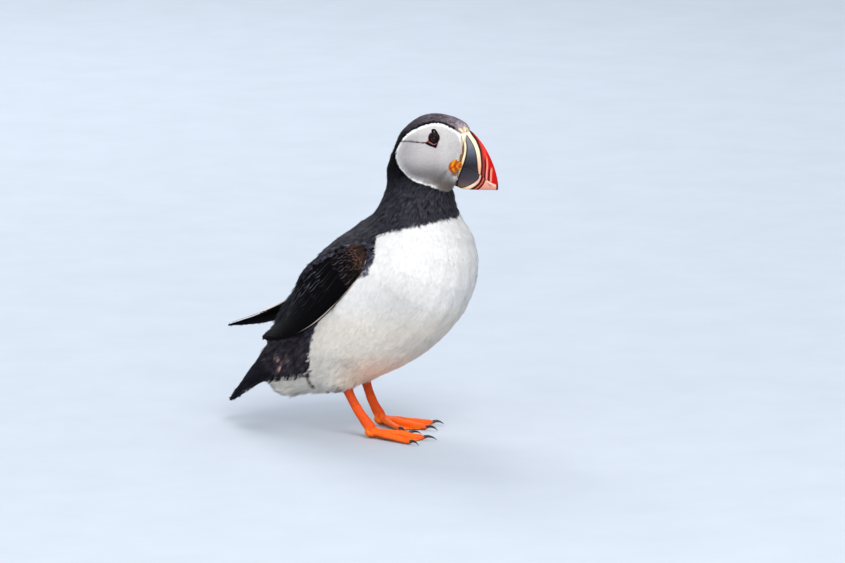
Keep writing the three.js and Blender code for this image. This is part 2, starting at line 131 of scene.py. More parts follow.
class Curve:
    """A smooth line through stations of any number of values, read by a share from 0 to 1."""

    def __init__(self, stations: Lines, even: bool = False) -> None:
        """Args:
            stations: rows of values that the line passes through.
            even: whether each stretch counts alike, or by the root of its length.
        """
        rows = np.asarray(stations, float)
        first = rows[:1] if even else 2 * rows[:1] - rows[1:2]
        final = rows[-1:] if even else 2 * rows[-1:] - rows[-2:-1]
        self.rows = np.vstack([first, rows, final])
        self.even = even

    def at(self, share: Array) -> Array:
        """The line's values, one row for each share."""
        share = np.clip(np.atleast_1d(np.asarray(share, float)), 0, 1)
        last = len(self.rows) - 3
        index = np.minimum((share * last).astype(int), last - 1)
        t = (share * last - index)[:, None]
        p0, p1, p2, p3 = (self.rows[index + k] for k in range(4))
        if self.even:
            out, into = (p2 - p0) / 2, (p3 - p1) / 2
        else:
            spans = ((p0, p1), (p1, p2), (p2, p3))
            d0, d1, d2 = (np.linalg.norm(b - a, axis=1)[:, None] ** 0.5 for a, b in spans)
            d1 = np.maximum(d1, 1e-4)
            out = ((p1 - p0) / d0 - (p2 - p0) / (d0 + d1) + (p2 - p1) / d1) * d1
            into = ((p2 - p1) / d1 - (p3 - p1) / (d1 + d2) + (p3 - p2) / d2) * d1
        square, cube = t * t, t * t * t
        return (
            p1 * (1 - 3 * square + 2 * cube)
            + p2 * (3 * square - 2 * cube)
            + out * (t - 2 * square + cube)
            + into * (cube - square)
        )

    def run(self, share: Array, step: float = 0.01) -> Array:
        """The line's direction of travel, at length 1."""
        share = np.atleast_1d(np.asarray(share, float))
        return unit(self.at(share + step) - self.at(share - step))


@dataclass(frozen=True)
class Nearest:
    """Where points stand by an outline or a line: how far, at which share of its run, on which side."""

    distance: Array
    share: Array
    side: Array


class Outline:
    """A line in a plane, open or closed, that points are measured against."""

    def __init__(self, corners: Lines, closed: bool = True, smooth: int = 0) -> None:
        """Args:
            corners: the points that the shape needs.
            closed: whether the last corner joins the first.
            smooth: points for each stretch of a rounded line, or 0 for straight stretches.
        """
        rows = np.asarray(corners, float)
        self.closed = closed
        if smooth:
            if closed:
                rows = np.vstack([rows[-1:], rows, rows[:2]])
            count = (len(rows) - 1) * smooth + 1
            rows = Curve(rows, even=True).at(np.linspace(0, 1, count))
            if closed:
                rows = rows[smooth:-smooth - 1]
        self.start = rows if closed else rows[:-1]
        self.end = np.roll(rows, -1, axis=0) if closed else rows[1:]

    def nearest(self, points: Array, chunk: int = 20_000) -> Nearest:
        """Each point's place by the line."""
        run = self.end - self.start
        square = np.maximum((run * run).sum(1), TINY)
        found = []
        for i in range(0, len(points), chunk):
            off = points[i:i + chunk, None, :] - self.start[None]
            along = np.clip((off * run).sum(-1) / square, 0, 1)
            gap = off - along[..., None] * run
            far = np.linalg.norm(gap, axis=-1)
            best = far.argmin(1)
            rows = np.arange(len(far))
            turn = run[best, 0] * gap[rows, best, 1] - run[best, 1] * gap[rows, best, 0]
            found.append(np.stack([far[rows, best], (best + along[rows, best]) / len(run), np.sign(turn)]))
        return Nearest(*np.concatenate(found, axis=1))

    def depth(self, points: Array) -> Array:
        """How far inside a closed outline each point is, negative outside."""
        a, b = self.start[:, None], self.end[:, None]
        x, y = points[:, 0], points[:, 1]
        with np.errstate(divide="ignore", invalid="ignore"):
            cross = a[..., 0] + (y - a[..., 1]) * (b[..., 0] - a[..., 0]) / (b[..., 1] - a[..., 1])
            hit = ((a[..., 1] > y) != (b[..., 1] > y)) & (x < cross)
        inside = hit.sum(0) % 2 == 1
        return np.where(inside, 1, -1) * self.nearest(points).distance


@dataclass(frozen=True)
class Axes:
    """A right-handed set of axes: forward, left and up, in millimetres from an origin in metres."""

    origin: Array
    forward: Array
    left: Array
    up: Array

    @property
    def rows(self) -> Array:
        """The three directions as the rows of a matrix."""
        return np.stack([self.forward, self.left, self.up])

    def place(self, local: Array) -> Array:
        """Points of these axes in the row's frame, in metres."""
        return self.origin + MM * (np.asarray(local, float) @ self.rows)

    def measure(self, points: Array) -> Array:
        """Points of the row's frame as forward, left and up."""
        return (np.asarray(points, float) - self.origin) @ self.rows.T / MM

    def turn(self, ways: Array) -> Array:
        """Directions of these axes in the row's frame."""
        return np.asarray(ways, float) @ self.rows

    def read(self, ways: Array) -> Array:
        """Directions of the row's frame on these axes."""
        return np.asarray(ways, float) @ self.rows.T


# ------------------------------------------------------------------------------- meshes


@dataclass
class Heap:
    """Vertices and faces with what they carry, gathered before a mesh is made of them."""

    points: list[Array] = field(default_factory=list)
    tints: list[Array] = field(default_factory=list)
    normals: list[Array] = field(default_factory=list)
    maps: list[Array] = field(default_factory=list)
    quads: list[Array] = field(default_factory=list)
    threes: list[Array] = field(default_factory=list)
    count: int = 0

    def add(
        self,
        points: Array,
        faces: Sequence[Array],
        tint: Array,
        normals: Array | None = None,
        maps: Array | None = None,
    ) -> None:
        """Adds a patch of surface.

        Args:
            points: places in metres, in the row's frame.
            faces: arrays of faces with three or four corners, counted from this patch's first point.
            tint: one colour, or one for each point.
            normals: shading directions, or None to leave them to the mesh.
            maps: places on the bake's map, or None.
        """
        for rows in faces:
            if len(rows):
                (self.quads if rows.shape[1] == 4 else self.threes).append(rows + self.count)
        self.points.append(points)
        self.tints.append(np.broadcast_to(tint, points.shape))
        if normals is not None:
            self.normals.append(normals)
        if maps is not None:
            self.maps.append(maps)
        self.count += len(points)

    def facing_out(self, points: Array, batches: list[Array], corners: int) -> Array:
        """The gathered faces of so many corners, each turned to face the way that its shading does."""
        faces = np.concatenate(batches) if batches else np.zeros((0, corners), int)
        if not self.normals or not len(faces):
            return faces
        shading = np.concatenate(self.normals)[faces].sum(1)
        out = np.cross(points[faces[:, 1]] - points[faces[:, 0]], points[faces[:, 2]] - points[faces[:, 0]])
        inward = (out * shading).sum(1) < 0
        return np.where(inward[:, None], faces[:, ::-1], faces)

    def build(self, name: str, material: Material, slot: str, nodes: Sequence[str] = ()) -> Piece:
        """Makes the mesh, dresses it and hands it to the frame.

        Args:
            name: the piece's name.
            material: its finish.
            slot: not used.
            nodes: the CAD nodes that it stands for.

        Returns:
            The piece.
        """
        points = np.concatenate(self.points)
        quads = self.facing_out(points, self.quads, 4)
        threes = self.facing_out(points, self.threes, 3)
        corners = np.concatenate([quads.ravel(), threes.ravel()])
        starts = np.concatenate([np.arange(len(quads)) * 4, len(quads) * 4 + np.arange(len(threes)) * 3])
        mesh = bpy.data.meshes.new(name)
        mesh.vertices.add(len(points))
        mesh.vertices.foreach_set("co", points.astype(np.float32).ravel())
        mesh.loops.add(len(corners))
        mesh.loops.foreach_set("vertex_index", corners.astype(np.int32))
        mesh.polygons.add(len(starts))
        mesh.polygons.foreach_set("loop_start", starts.astype(np.int32))
        mesh.update(calc_edges=True)
        paint(mesh, np.clip(np.concatenate(self.tints), 0, 1))
        if self.maps:
            layer = mesh.uv_layers.new(name="OFBake")
            layer.uv.foreach_set("vector", np.concatenate(self.maps)[corners].astype(np.float32).ravel())
        mesh.shade_smooth()
        if self.normals:
            mesh.normals_split_custom_set_from_vertices(unit(np.concatenate(self.normals)).tolist())
        return hand_over(link(name, mesh), material, nodes)


def link(name: str, data: bpy.types.ID) -> Piece:
    """A new object in the scene."""
    made = bpy.data.objects.new(name, data)
    bpy.context.scene.collection.objects.link(made)
    return made


def paint(mesh: Mesh, tint: Array) -> None:
    """Gives each vertex its colour."""
    colours = np.ones((len(tint), 4), np.float32)
    colours[:, :3] = tint
    mesh.attributes.new("Tint", "FLOAT_COLOR", "POINT").data.foreach_set("color", colours.ravel())


def hand_over(piece: Piece, material: Material, nodes: Sequence[str] = ()) -> Piece:
    """Gives a piece its finish and its body, and hides the nodes that it stands for."""
    piece.data.materials.clear()
    piece.data.materials.append(material)
    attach(piece, "root")
    if nodes:
        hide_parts(*nodes)
    LOG.info("%s: %d faces", piece.name, len(piece.data.polygons))
    return piece


def grid_faces(rows: int, columns: int, wrap: bool = False) -> Array:
    """The quads of a grid of points, row by row; wrap joins the last column to the first."""
    spans = columns if wrap else columns - 1
    first = (np.arange(rows - 1)[:, None] * columns + np.arange(spans)[None]).ravel()
    after = (np.arange(rows - 1)[:, None] * columns + (np.arange(spans)[None] + 1) % columns).ravel()
    return np.stack([first, after, after + columns, first + columns], 1)


def loft(rings: Array) -> tuple[Array, list[Array]]:
    """A closed skin over rings of points.

    Args:
        rings: an array of rings, points and three values.

    Returns:
        The points, with the middle of each end ring last, and the faces.
    """
    count, around = rings.shape[:2]
    points = np.vstack([rings.reshape(-1, 3), rings[0].mean(0), rings[-1].mean(0)])
    here = np.arange(around)
    after = (here + 1) % around
    start = np.stack([np.full(around, count * around), after, here], 1)
    base = (count - 1) * around
    end = np.stack([np.full(around, count * around + 1), base + here, base + after], 1)
    return points, [grid_faces(count, around, wrap=True), start, end]


def globe(rows: int, around: int, side: int = 1) -> Array:
    """The rings of a ball of radius 1, about the axis that points out to one side."""
    polar = np.linspace(0, math.pi, rows + 2)[1:-1, None]
    turn = circle(around)[None]
    out = np.broadcast_to(side * np.cos(polar), (rows, around))
    return np.stack([np.sin(polar) * np.cos(turn), out, np.sin(polar) * np.sin(turn)], -1)


def lens(surface: Surface, shares: Array, across: int, lift: float) -> tuple[Array, list[Array]]:
    """A closed skin over both faces of a flat form.

    Args:
        surface: gives places from shares of the form's run, places across it, heights and the face.
        shares: where along the run the rings lie.
        across: how many points lie across each face.
        lift: the skin's height over the surface.

    Returns:
        What loft returns.
    """
    edge = np.cos(np.linspace(0, math.pi, across))
    count = len(shares)
    halves = []
    for face, order in ((1, edge), (-1, edge[::-1][1:-1])):
        run, place = np.repeat(shares, len(order)), np.tile(order, count)
        found = surface(run, place, np.full(len(run), lift), face)[0]
        halves.append(found.reshape(count, len(order), 3))
    return loft(np.concatenate(halves, 1))


def loft_tint(tint: Array) -> Array:
    """A loft's colours, given for its rings, with its ends coloured like the rings there."""
    return np.vstack([tint.reshape(-1, 3), tint[0, :1], tint[-1, :1]])


def closed_piece(
    name: str,
    points: Array,
    faces: Sequence[Array],
    tint: Array,
    material: Material,
    slot: str,
    nodes: Sequence[str] = (),
) -> None:
    """Makes one closed form into a piece of its own, its faces turned out.

    Args:
        name: the piece's name.
        points: places in metres, in the row's frame.
        faces: arrays of faces.
        tint: one colour, or one for each point.
        material: its finish.
        slot: not used.
        nodes: the CAD nodes that it stands for.
    """
    heap = Heap()
    heap.add(points, faces, tint)
    mesh = heap.build(name, material, slot, nodes).data
    form = bmesh.new()
    form.from_mesh(mesh)
    bmesh.ops.remove_doubles(form, verts=form.verts, dist=WELD * MM)
    bmesh.ops.recalc_face_normals(form, faces=form.faces)
    form.to_mesh(mesh)
    form.free()
    mesh.update()


def read_mesh(mesh: Mesh) -> tuple[Array, Array, Array]:
    """A mesh's vertices, vertex normals and triangles."""
    points = np.zeros(len(mesh.vertices) * 3, np.float32)
    normals = np.zeros(len(mesh.vertices) * 3, np.float32)
    mesh.vertices.foreach_get("co", points)
    mesh.vertex_normals.foreach_get("vector", normals)
    mesh.calc_loop_triangles()
    threes = np.zeros(len(mesh.loop_triangles) * 3, np.int32)
    mesh.loop_triangles.foreach_get("vertices", threes)
    return points.reshape(-1, 3).astype(float), normals.reshape(-1, 3).astype(float), threes.reshape(-1, 3)


def remeshed(form: bmesh.types.BMesh, name: str, voxel: float, smoothing: int) -> Mesh:
    """One even skin round everything in form.

    Args:
        form: the closed forms to wrap, freed here.
        name: a name for the mesh.
        voxel: the size of its faces in millimetres.
        smoothing: how many times it is smoothed.

    Returns:
        The new mesh.
    """
    mesh = bpy.data.meshes.new(name + "_form")
    form.to_mesh(mesh)
    form.free()
    holder = link(name + "_form", mesh)
    wrap = holder.modifiers.new("wrap", "REMESH")
    wrap.mode = "VOXEL"
    wrap.voxel_size = voxel * MM
    soften = holder.modifiers.new("soften", "SMOOTH")
    soften.factor = 0.5
    soften.iterations = smoothing
    graph = bpy.context.evaluated_depsgraph_get()
    made = bpy.data.meshes.new_from_object(holder.evaluated_get(graph))
    made.name = name
    bpy.data.objects.remove(holder)
    bpy.data.meshes.remove(mesh)
    return made


# ------------------------------------------------------------------------------- finishes


class Shader:
    """A new material's node tree round its Principled shader."""

    def __init__(self, name: str) -> None:
        """Starts a material of this name."""
        self.material = bpy.data.materials.new(name)
        self.material.use_nodes = True
        self.tree = self.material.node_tree
        self.surface = self.tree.nodes["Principled BSDF"]

    def add(self, kind: str, values: dict | None = None, **settings: object) -> bpy.types.Node:
        """A node with its settings, and its inputs either set to a value or linked to a socket."""
        made = self.tree.nodes.new(kind)
        for key, value in settings.items():
            setattr(made, key, value)
        for key, value in (values or {}).items():
            self.feed(made, key, value)
        return made

    def feed(self, node: bpy.types.Node, key: str | int, value: object) -> None:
        """Sets a node's input, or links it to a socket."""
        if isinstance(value, Socket):
            self.tree.links.new(value, node.inputs[key])
        else:
            node.inputs[key].default_value = value

    def place(self, stretch: Spot = (1, 1, 1)) -> Socket:
        """The place on the object, stretched."""
        where = self.add("ShaderNodeTexCoord").outputs["Object"]
        return self.add("ShaderNodeMapping", {"Vector": where, "Scale": stretch}).outputs["Vector"]

    def noise(self, size: float, detail: float = 4, stretch: Spot = (1, 1, 1)) -> Socket:
        """Soft noise whose features are about size millimetres across."""
        values = {"Vector": self.place(stretch), "Scale": 1 / (size * MM)}
        values |= {"Detail": detail, "Roughness": 0.55}
        return self.add("ShaderNodeTexNoise", values).outputs["Fac"]

    def ranged(self, value: Socket, before: Pair, after: Pair) -> Socket:
        """A value between the ends of one range, taken to the ends of another."""
        values = dict(zip(("From Min", "From Max", "To Min", "To Max"), (*before, *after)))
        return self.add("ShaderNodeMapRange", {"Value": value} | values).outputs["Result"]

    def span(self, value: Socket, low: float, high: float) -> Socket:
        """A noise's usual range about a half, taken to low and high."""
        return self.ranged(value, (0.25, 0.75), (low, high))

    def scaled(self, colour: Socket | tuple[float, ...], share: Socket) -> Socket:
        """A colour times a value."""
        values = {0: colour, "Scale": share}
        return self.add("ShaderNodeVectorMath", values, operation="SCALE").outputs["Vector"]

    def bump(self, height: Socket, depth: float, below: object = None) -> Socket:
        """Relief of that depth in millimetres, over any relief below it."""
        values = {"Height": height, "Strength": 1.0, "Distance": depth * MM}
        if below is not None:
            values["Normal"] = below
        return self.add("ShaderNodeBump", values).outputs["Normal"]


@dataclass(frozen=True)
class Finish:
    """A painted surface: its tint is mottled, its gloss uneven, and it has a fine relief."""

    name: str
    roughness: Pair = (0.5, 0.65)
    mottle: Pair = (0.9, 1.08)  # the range of the tint's strength
    grain: float = 2.0  # the size of its patches; this and the next two in millimetres
    relief: float = 0.05  # the relief's depth
    relief_size: float = 0.5
    specular: float = 0.5
    sheen: float = 0.0
    coat: float = 0.0

    def material(self) -> Material:
        """The finish's material, made once."""
        return bpy.data.materials.get(self.name) or self.make()

    def make(self) -> Material:
        """Builds the nodes."""
        shader = Shader(self.name)
        tint = shader.add("ShaderNodeAttribute", attribute_name="Tint").outputs["Color"]
        patches = shader.span(shader.noise(self.grain), *self.mottle)
        values = {
            "Base Color": self.tinted(shader, shader.scaled(tint, patches)),
            "Roughness": shader.span(shader.noise(self.grain * 0.6), *self.roughness),
            "Normal": self.relieved(shader),
            "Specular IOR Level": self.specular,
            "Sheen Weight": self.sheen,
            "Sheen Roughness": 0.45,
            "Coat Weight": self.coat,
            "Coat Roughness": 0.25,
        }
        for key, value in values.items():
            shader.feed(shader.surface, key, value)
        return shader.material

    def tinted(self, shader: Shader, colour: Socket) -> Socket:
        """The surface's colour, as it is unless a finish adds to it."""
        return colour

    def relieved(self, shader: Shader) -> Socket:
        """The surface's relief."""
        return shader.bump(shader.noise(self.relief_size, 3), self.relief)


@dataclass(frozen=True)
class HornFinish(Finish):
    """Horn: fine growth lines and scratches under a soft polish."""

    lines: float = 0.35

    def relieved(self, shader: Shader) -> Socket:
        """Fine scratches over a slight waviness."""
        waves = shader.bump(shader.noise(2.4, 2), 0.12)
        return shader.bump(shader.noise(self.lines, 5, (1, 1, 0.25)), self.relief, waves)


@dataclass(frozen=True)
class ScaledFinish(Finish):
    """Scaly skin: small plates with dark creases between them."""

    plate: float = 1.1
    crease: float = 0.55

    def cells(self, shader: Shader) -> Socket:
        """Distance to the nearest crease between plates."""
        values = {"Vector": shader.place(), "Scale": 1 / (self.plate * MM)}
        return shader.add("ShaderNodeTexVoronoi", values, feature="DISTANCE_TO_EDGE").outputs["Distance"]

    def tinted(self, shader: Shader, colour: Socket) -> Socket:
        """Darkens the creases."""
        return shader.scaled(colour, shader.ranged(self.cells(shader), (0.0, 0.16), (self.crease, 1.0)))

    def relieved(self, shader: Shader) -> Socket:
        """Domed plates."""
        return shader.bump(shader.ranged(self.cells(shader), (0.0, 0.3), (0.0, 1.0)), self.relief)


@dataclass(frozen=True)
class EyeFinish(Finish):
    """A wet eye: nearly smooth, with a clear coat."""

    def relieved(self, shader: Shader) -> Socket:
        """Almost no relief."""
        return shader.bump(shader.noise(0.8, 2), 0.004)


# Each row: name, roughness, mottle, grain, relief, the relief's size, specular, sheen, coat.
WHITE_PLUMAGE = Finish("white_plumage", (0.6, 0.78), (0.95, 1.03), 3.0, 0.04, 0.35, 0.2, 0.05)
BLACK_PLUMAGE = Finish("black_plumage", (0.52, 0.68), (0.82, 1.2), 2.5, 0.04, 0.35, 0.06)
FLIGHT_PLUMAGE = Finish("flight_plumage", (0.5, 0.66), (0.82, 1.2), 2.0, 0.05, 0.5, 0.02)
FACE_PLUMAGE = Finish("face_plumage", (0.6, 0.78), (0.95, 1.04), 2.0, 0.03, 0.3, 0.2, 0.05)
SKIN_UNDER = Finish("skin_under_feathers", (0.7, 0.85), (0.92, 1.06), 2.0, 0.08, 0.4, 0.1)
BILL_HORN = HornFinish("polished_bill", (0.34, 0.5), (0.9, 1.08), 1.6, 0.03, 0.3, 0.1, 0.0, 0.02)
ROSETTE_SKIN = Finish("folded_rosette", (0.45, 0.6), (0.92, 1.08), 0.9, 0.05, 0.4, 0.12, 0.0, 0.02)
LEG_SKIN = ScaledFinish("scaled_leg", (0.42, 0.56), (0.9, 1.1), 1.8, 0.12, 0.5, 0.14, 0.0, 0.02)
WEB_SKIN = Finish("creased_web", (0.45, 0.6), (0.9, 1.1), 1.6, 0.1, 0.7, 0.14, 0.0, 0.02)
CLAW_HORN = HornFinish("dark_claw", (0.3, 0.42), (0.8, 1.25), 0.8, 0.02, 0.3, 0.4, 0.0, 0.1)
ORBIT_SKIN = Finish("orbit_skin", (0.5, 0.65), (0.88, 1.1), 0.6, 0.05, 0.3, 0.02)
EYE_GLOSS = EyeFinish("wet_eye", (0.04, 0.07), (0.9, 1.1), 0.5, 0.0, 0.5, 0.08, 0.0, 0.07)


# ------------------------------------------------------------------------------- the bird's own frame


class Anatomy:
    """The bird's axes and the frame's solids as surfaces to measure by."""

    EYE_FORWARD = 4.7  # of the head's centre
    EYE_UP = 10.4
    EYE_SIDE = 15.1
    HEAD_FORWARD = 20.4  # the head's centre, of the body's anchor
    HEAD_RISE = 0.78  # the head's side view: how far its centre stands up in it,
    HEAD_DROP = 0.1513  # and how far a place sinks in it for each millimetre out
    ALONG = (0.9272, -0.3746)  # the body's view, along: its shares of forward and out
    UPWARD = (-0.0651, -0.161, 0.9848)  # and up: its shares of forward, out and up

    def __init__(self, nodes: dict[str, Piece]) -> None:
        """Reads the axes off the eyes and the surfaces off the solids."""
        middles = {side: np.array(sum(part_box(f"eye_{side}"), Vector())) / 2 for side, _ in SIDES}
        left = middles["left"] - middles["right"]
        left[2] = 0
        left = unit(left)
        forward = np.array([left[1], -left[0], 0.0])
        up = np.array([0.0, 0.0, 1.0])
        centre = sum(middles.values()) / 2 - MM * (self.EYE_FORWARD * forward + self.EYE_UP * up)
        self.head = Axes(centre, forward, left, up)
        anchor = np.array([centre[0], centre[1] + MM * self.HEAD_FORWARD, 0.0])
        self.body = Axes(anchor, np.array([0.0, -1.0, 0.0]), np.array([1.0, 0.0, 0.0]), up)
        self.nodes = nodes
        self.owners = sorted(nodes)
        points, faces, self.owner_of_face = [], [], []
        for number, name in enumerate(self.owners):
            mesh = nodes[name].data
            first = len(points)
            points += [tuple(vertex.co) for vertex in mesh.vertices]
            faces += [[first + i for i in polygon.vertices] for polygon in mesh.polygons]
            self.owner_of_face += [number] * len(mesh.polygons)
        self.solids = BVHTree.FromPolygons(points, faces)

    def owner(self, points: Array) -> Array:
        """The number in owners of the solid nearest to each point."""
        find = self.solids.find_nearest
        return np.array([self.owner_of_face[find(point)[2]] for point in points.tolist()])

    def number(self, name: str) -> int:
        """A node's number in owners."""
        return self.owners.index(name)

    def profile(self, points: Array) -> Array:
        """Places on the head's side view, forward and up, taken ten degrees from above."""
        u, v, w = self.head.measure(points).T
        return np.stack([u, self.lowered(w, np.abs(v))], 1)

    def lowered(self, up: Array, out: Array) -> Array:
        """Heights in the head's side view, of places up and out to the side on the head's axes."""
        return up + self.HEAD_RISE - self.HEAD_DROP * out

    def aside(self, points: Array) -> Array:
        """Places on the body's view from its side and a little ahead, ten degrees from above."""
        forward, left, up = self.body.measure(points).T
        out = np.abs(left)
        along = self.ALONG[0] * forward + self.ALONG[1] * out
        upward = self.UPWARD[2] * up + self.UPWARD[1] * out + self.UPWARD[0] * forward
        return np.stack([along, upward], 1)


# ------------------------------------------------------------------------------- markings and lie


class Zone(IntEnum):
    """Stretches of plumage that differ in their feathers."""

    BARE = 0
    FACE = 1
    CROWN = 2
    NECK = 3
    BREAST = 4
    BELLY = 5
    THIGH = 6
    VENT = 7
    MANTLE = 8
    RUMP = 9
    WING = 10
    TAIL = 11
    MARK = 12


def tone(red: float, green: float, blue: float) -> Array:
    """A palette's field, from a screen colour."""
    return field(default_factory=lambda: srgb(red, green, blue))


@dataclass(frozen=True)
class Palette:
    """The plumage's colours."""

    cheek: Array = tone(192, 188, 189)
    cheek_rim: Array = tone(250, 249, 249)
    cheek_front: Array = tone(208, 206, 205)
    # darker low on the cheek: partly the cheek's grey, partly painted shade
    cheek_low: Array = tone(96, 92, 94)
    chin: Array = tone(104, 94, 87)
    furrow: Array = tone(52, 44, 50)
    crown: Array = tone(94, 86, 94)
    crown_back: Array = tone(58, 54, 61)
    knob: Array = tone(226, 208, 180)
    nape: Array = tone(14, 13, 18)
    neck: Array = tone(50, 49, 57)
    breast: Array = tone(229, 229, 228)
    belly: Array = tone(232, 226, 216)
    # a painted reflection of warm light on the lower belly
    warm_reflection: Array = tone(255, 222, 196)
    vent: Array = tone(224, 219, 210)
    mantle: Array = tone(46, 45, 55)
    rump: Array = tone(40, 36, 42)
    rump_streak: Array = tone(150, 126, 118)
    wing: Array = tone(6, 5, 7)
    # painted highlights on the feathers' margins
    wing_highlight: Array = tone(98, 99, 110)
    wrist: Array = tone(88, 64, 55)
    wrist_highlight: Array = tone(214, 166, 134)
    wing_rim: Array = tone(206, 190, 172)
    tail: Array = tone(22, 22, 29)
    tail_highlight: Array = tone(62, 62, 74)


PALETTE = Palette()


@dataclass
class Markings:
    """Where each colour and each kind of feather lies."""

    anatomy: Anatomy
    face_line: Lines = (
        (-22.1, -2.3), (-20.9, 1.3), (-18, 7.1), (-13.4, 11.9), (-8.5, 15), (-2.7, 17.6), (1.9, 18.9),
        (6, 19.3), (10, 18.8), (13.5, 17.7), (17, 15.7), (21.6, 13), (24.2, 9.4), (24.6, 4), (24.7, 0),
        (23.6, -4.7), (22.2, -8.8), (20.9, -16), (19.8, -24), (18.8, -26.7), (16.4, -28.3), (13.5, -28.8),
        (10.6, -28.1), (6.6, -26.4), (1.9, -24.7), (-2.7, -23.2), (-6.8, -22), (-10.5, -20.3), (-13.7, -18.2),
        (-17.1, -14.8), (-19.9, -10.9), (-21.6, -6.4),
    )  # the pale face patch, in the head's side view
    white_line: Lines = (
        (95, 150), (60, 152), (45, 150), (40.5, 153), (33, 151.5), (25, 149.5), (17.5, 147), (11, 146.4),
        (5.5, 144.4), (-3, 142.3), (-10, 140), (-15.4, 137.6), (-16.4, 130), (-16.6, 120.5), (-20.6, 114.8),
        (-24.4, 111.6), (-34, 106.6), (-50, 91.5), (-56, 79.5), (-59.4, 70), (-61.6, 62), (-62, 54),
        (-61.4, 46), (-62.6, 42), (-73, 41.6), (-83, 40.2), (-88.3, 38.8), (-94, 36.6), (-98.6, 34),
        (-106, 32.2), (-110.8, 30.2), (-118.3, 21.8), (-118, -20), (95, -20),
    )  # the white underparts, in the body's side view
    furrow_line: Lines = ((-1.3, 5.6), (-6.8, 6.2), (-13.2, 7), (-19, 6.5))
    bill_line: Lines = (
        (-26, 19.9), (-19.8, 20.6), (-15.5, 22), (-10.5, 22.2), (-7.6, 22.9), (-2.9, 24.1), (1.8, 24.4),
        (6, 24.1), (8.9, 23.6), (10.7, 23.1), (12, 23.6), (13, 28), (14, 31),
    )  # how far forward the plumage reaches beside the bill, by its height
    jowl_line: Lines = ((-1, -21.4), (1.9, -22), (6.6, -21.6), (8.9, -20.6), (11.2, -17.6), (13.5, -14.4))
    mantle_line: Lines = (
        (-110, 60), (-80, 95), (-73, 101.5), (-69.5, 105.2), (-64, 110.4), (-56.4, 117.4), (-48, 123),
        (-39.5, 126.8), (-28.2, 129.6), (-17, 134.3), (20, 150),
    )  # the back's lower edge over the folded wing
    marks: tuple[Lines, ...] = (
        ((-63.4, 47), (-62.2, 42), (-60.4, 37.4), (-58, 33.6)),
        ((-49.4, 32), (-45.4, 28.6), (-40.6, 25.8)),
        ((-88.2, 41), (-88.6, 37.4)),
        ((-82.8, 42.4), (-83, 38.4)),
        ((-76, 43), (-76.4, 39.8)),
        ((-70, 43), (-70.2, 40)),
    )  # thin dark strands, in part painted shade: between flank and vent, over the leg, and along the rump's lower edge
    mark_half: float = 0.45  # half a strand's width
    ragged: float = 0.9  # how far the edges of the body's colours wander
    rump: Pair = (-52, 72)  # the rump lies behind and under this place, forward and up
    thigh: Pair = (-14, 62)  # and the thigh behind and under this one
    vent: float = -55  # the vent lies behind this
    mantle_end: float = -80  # behind this no feather of the back lies over a wing
    bill_side: float = 10.8  # half the bare skin's width under the bill,
    bill_low: float = -30  # and its lower end
    corner: tuple[Pair, Pair] = ((19.4, -10.9), (4.4, 3.9))  # a rosette's middle and reach from the side

    def __post_init__(self) -> None:
        """Makes the outlines."""
        self.face = Outline(self.face_line, smooth=3)
        self.white = Outline(self.white_line)
        self.furrow = Outline(self.furrow_line, closed=False, smooth=6)
        self.jowl = Outline(self.jowl_line, closed=False, smooth=6)
        self.strands = [Outline(line, closed=False) for line in self.marks]
        self.patch = Outline(EyeSurround.patch_line, smooth=3)

    def zones(self, points: Array, rng: np.random.Generator) -> Array:
        """The zone of each place on the surface, as the zone's number.

        Args:
            points: places in the row's frame.
            rng: draws how far the edges wander.
        """
        seen = self.anatomy.profile(points)
        body = self.anatomy.body.measure(points)
        owner = self.anatomy.owner(points)
        stray = rng.normal(0, self.ragged, len(points))
        u, w = seen.T
        f, _, z = body.T
        is_on = {name: owner == self.anatomy.number(name) for name in self.anatomy.owners}
        starts = ("head", "eye", "gape", "bill")
        on_head = np.any([is_on[name] for name in self.anatomy.owners if name.startswith(starts)], axis=0)
        in_face = self.face.depth(seen) + stray * 0.12 > 0
        plane = self.anatomy.aside(points)
        white = self.white.depth(plane) + stray * 0.5 > 0
        zone = np.full(len(points), Zone.MANTLE)
        zone[is_on["trunk"] & (f < self.rump[0]) & (z < self.rump[1])] = Zone.RUMP
        zone[(is_on["trunk"] | is_on["neck"]) & white] = Zone.BREAST
        low = (zone == Zone.BREAST) & (z < 86 - 0.35 * f)
        zone[low] = Zone.BELLY
        zone[low & (f < self.thigh[0]) & (z < self.thigh[1])] = Zone.THIGH
        zone[low & (f < self.vent)] = Zone.VENT
        zone[is_on["neck"] & ~white] = Zone.NECK
        over = np.where(w > 8 - 0.5 * u, Zone.CROWN, Zone.NECK)
        zone[on_head] = np.where(in_face, Zone.FACE, over)[on_head]
        above = (plane[:, 1] > ramp(plane[:, 0], self.mantle_line)) & (f > self.mantle_end)
        wings = is_on["wing_left"] | is_on["wing_right"]
        zone[wings] = np.where(above, Zone.MANTLE, Zone.WING)[wings]
        zone[is_on["tail"]] = np.where(white, Zone.VENT, Zone.TAIL)[is_on["tail"]]
        zone[self.bare(points)] = Zone.BARE
        starts = ("leg", "foot", "claw")
        legs = np.any([is_on[name] for name in self.anatomy.owners if name.startswith(starts)], axis=0)
        zone[legs & (zone == Zone.MANTLE)] = Zone.THIGH
        marked = np.min([strand.nearest(plane).distance for strand in self.strands], axis=0) < self.mark_half
        zone[marked & np.isin(zone, (Zone.THIGH, Zone.VENT, Zone.RUMP, Zone.BELLY))] = Zone.MARK
        return zone

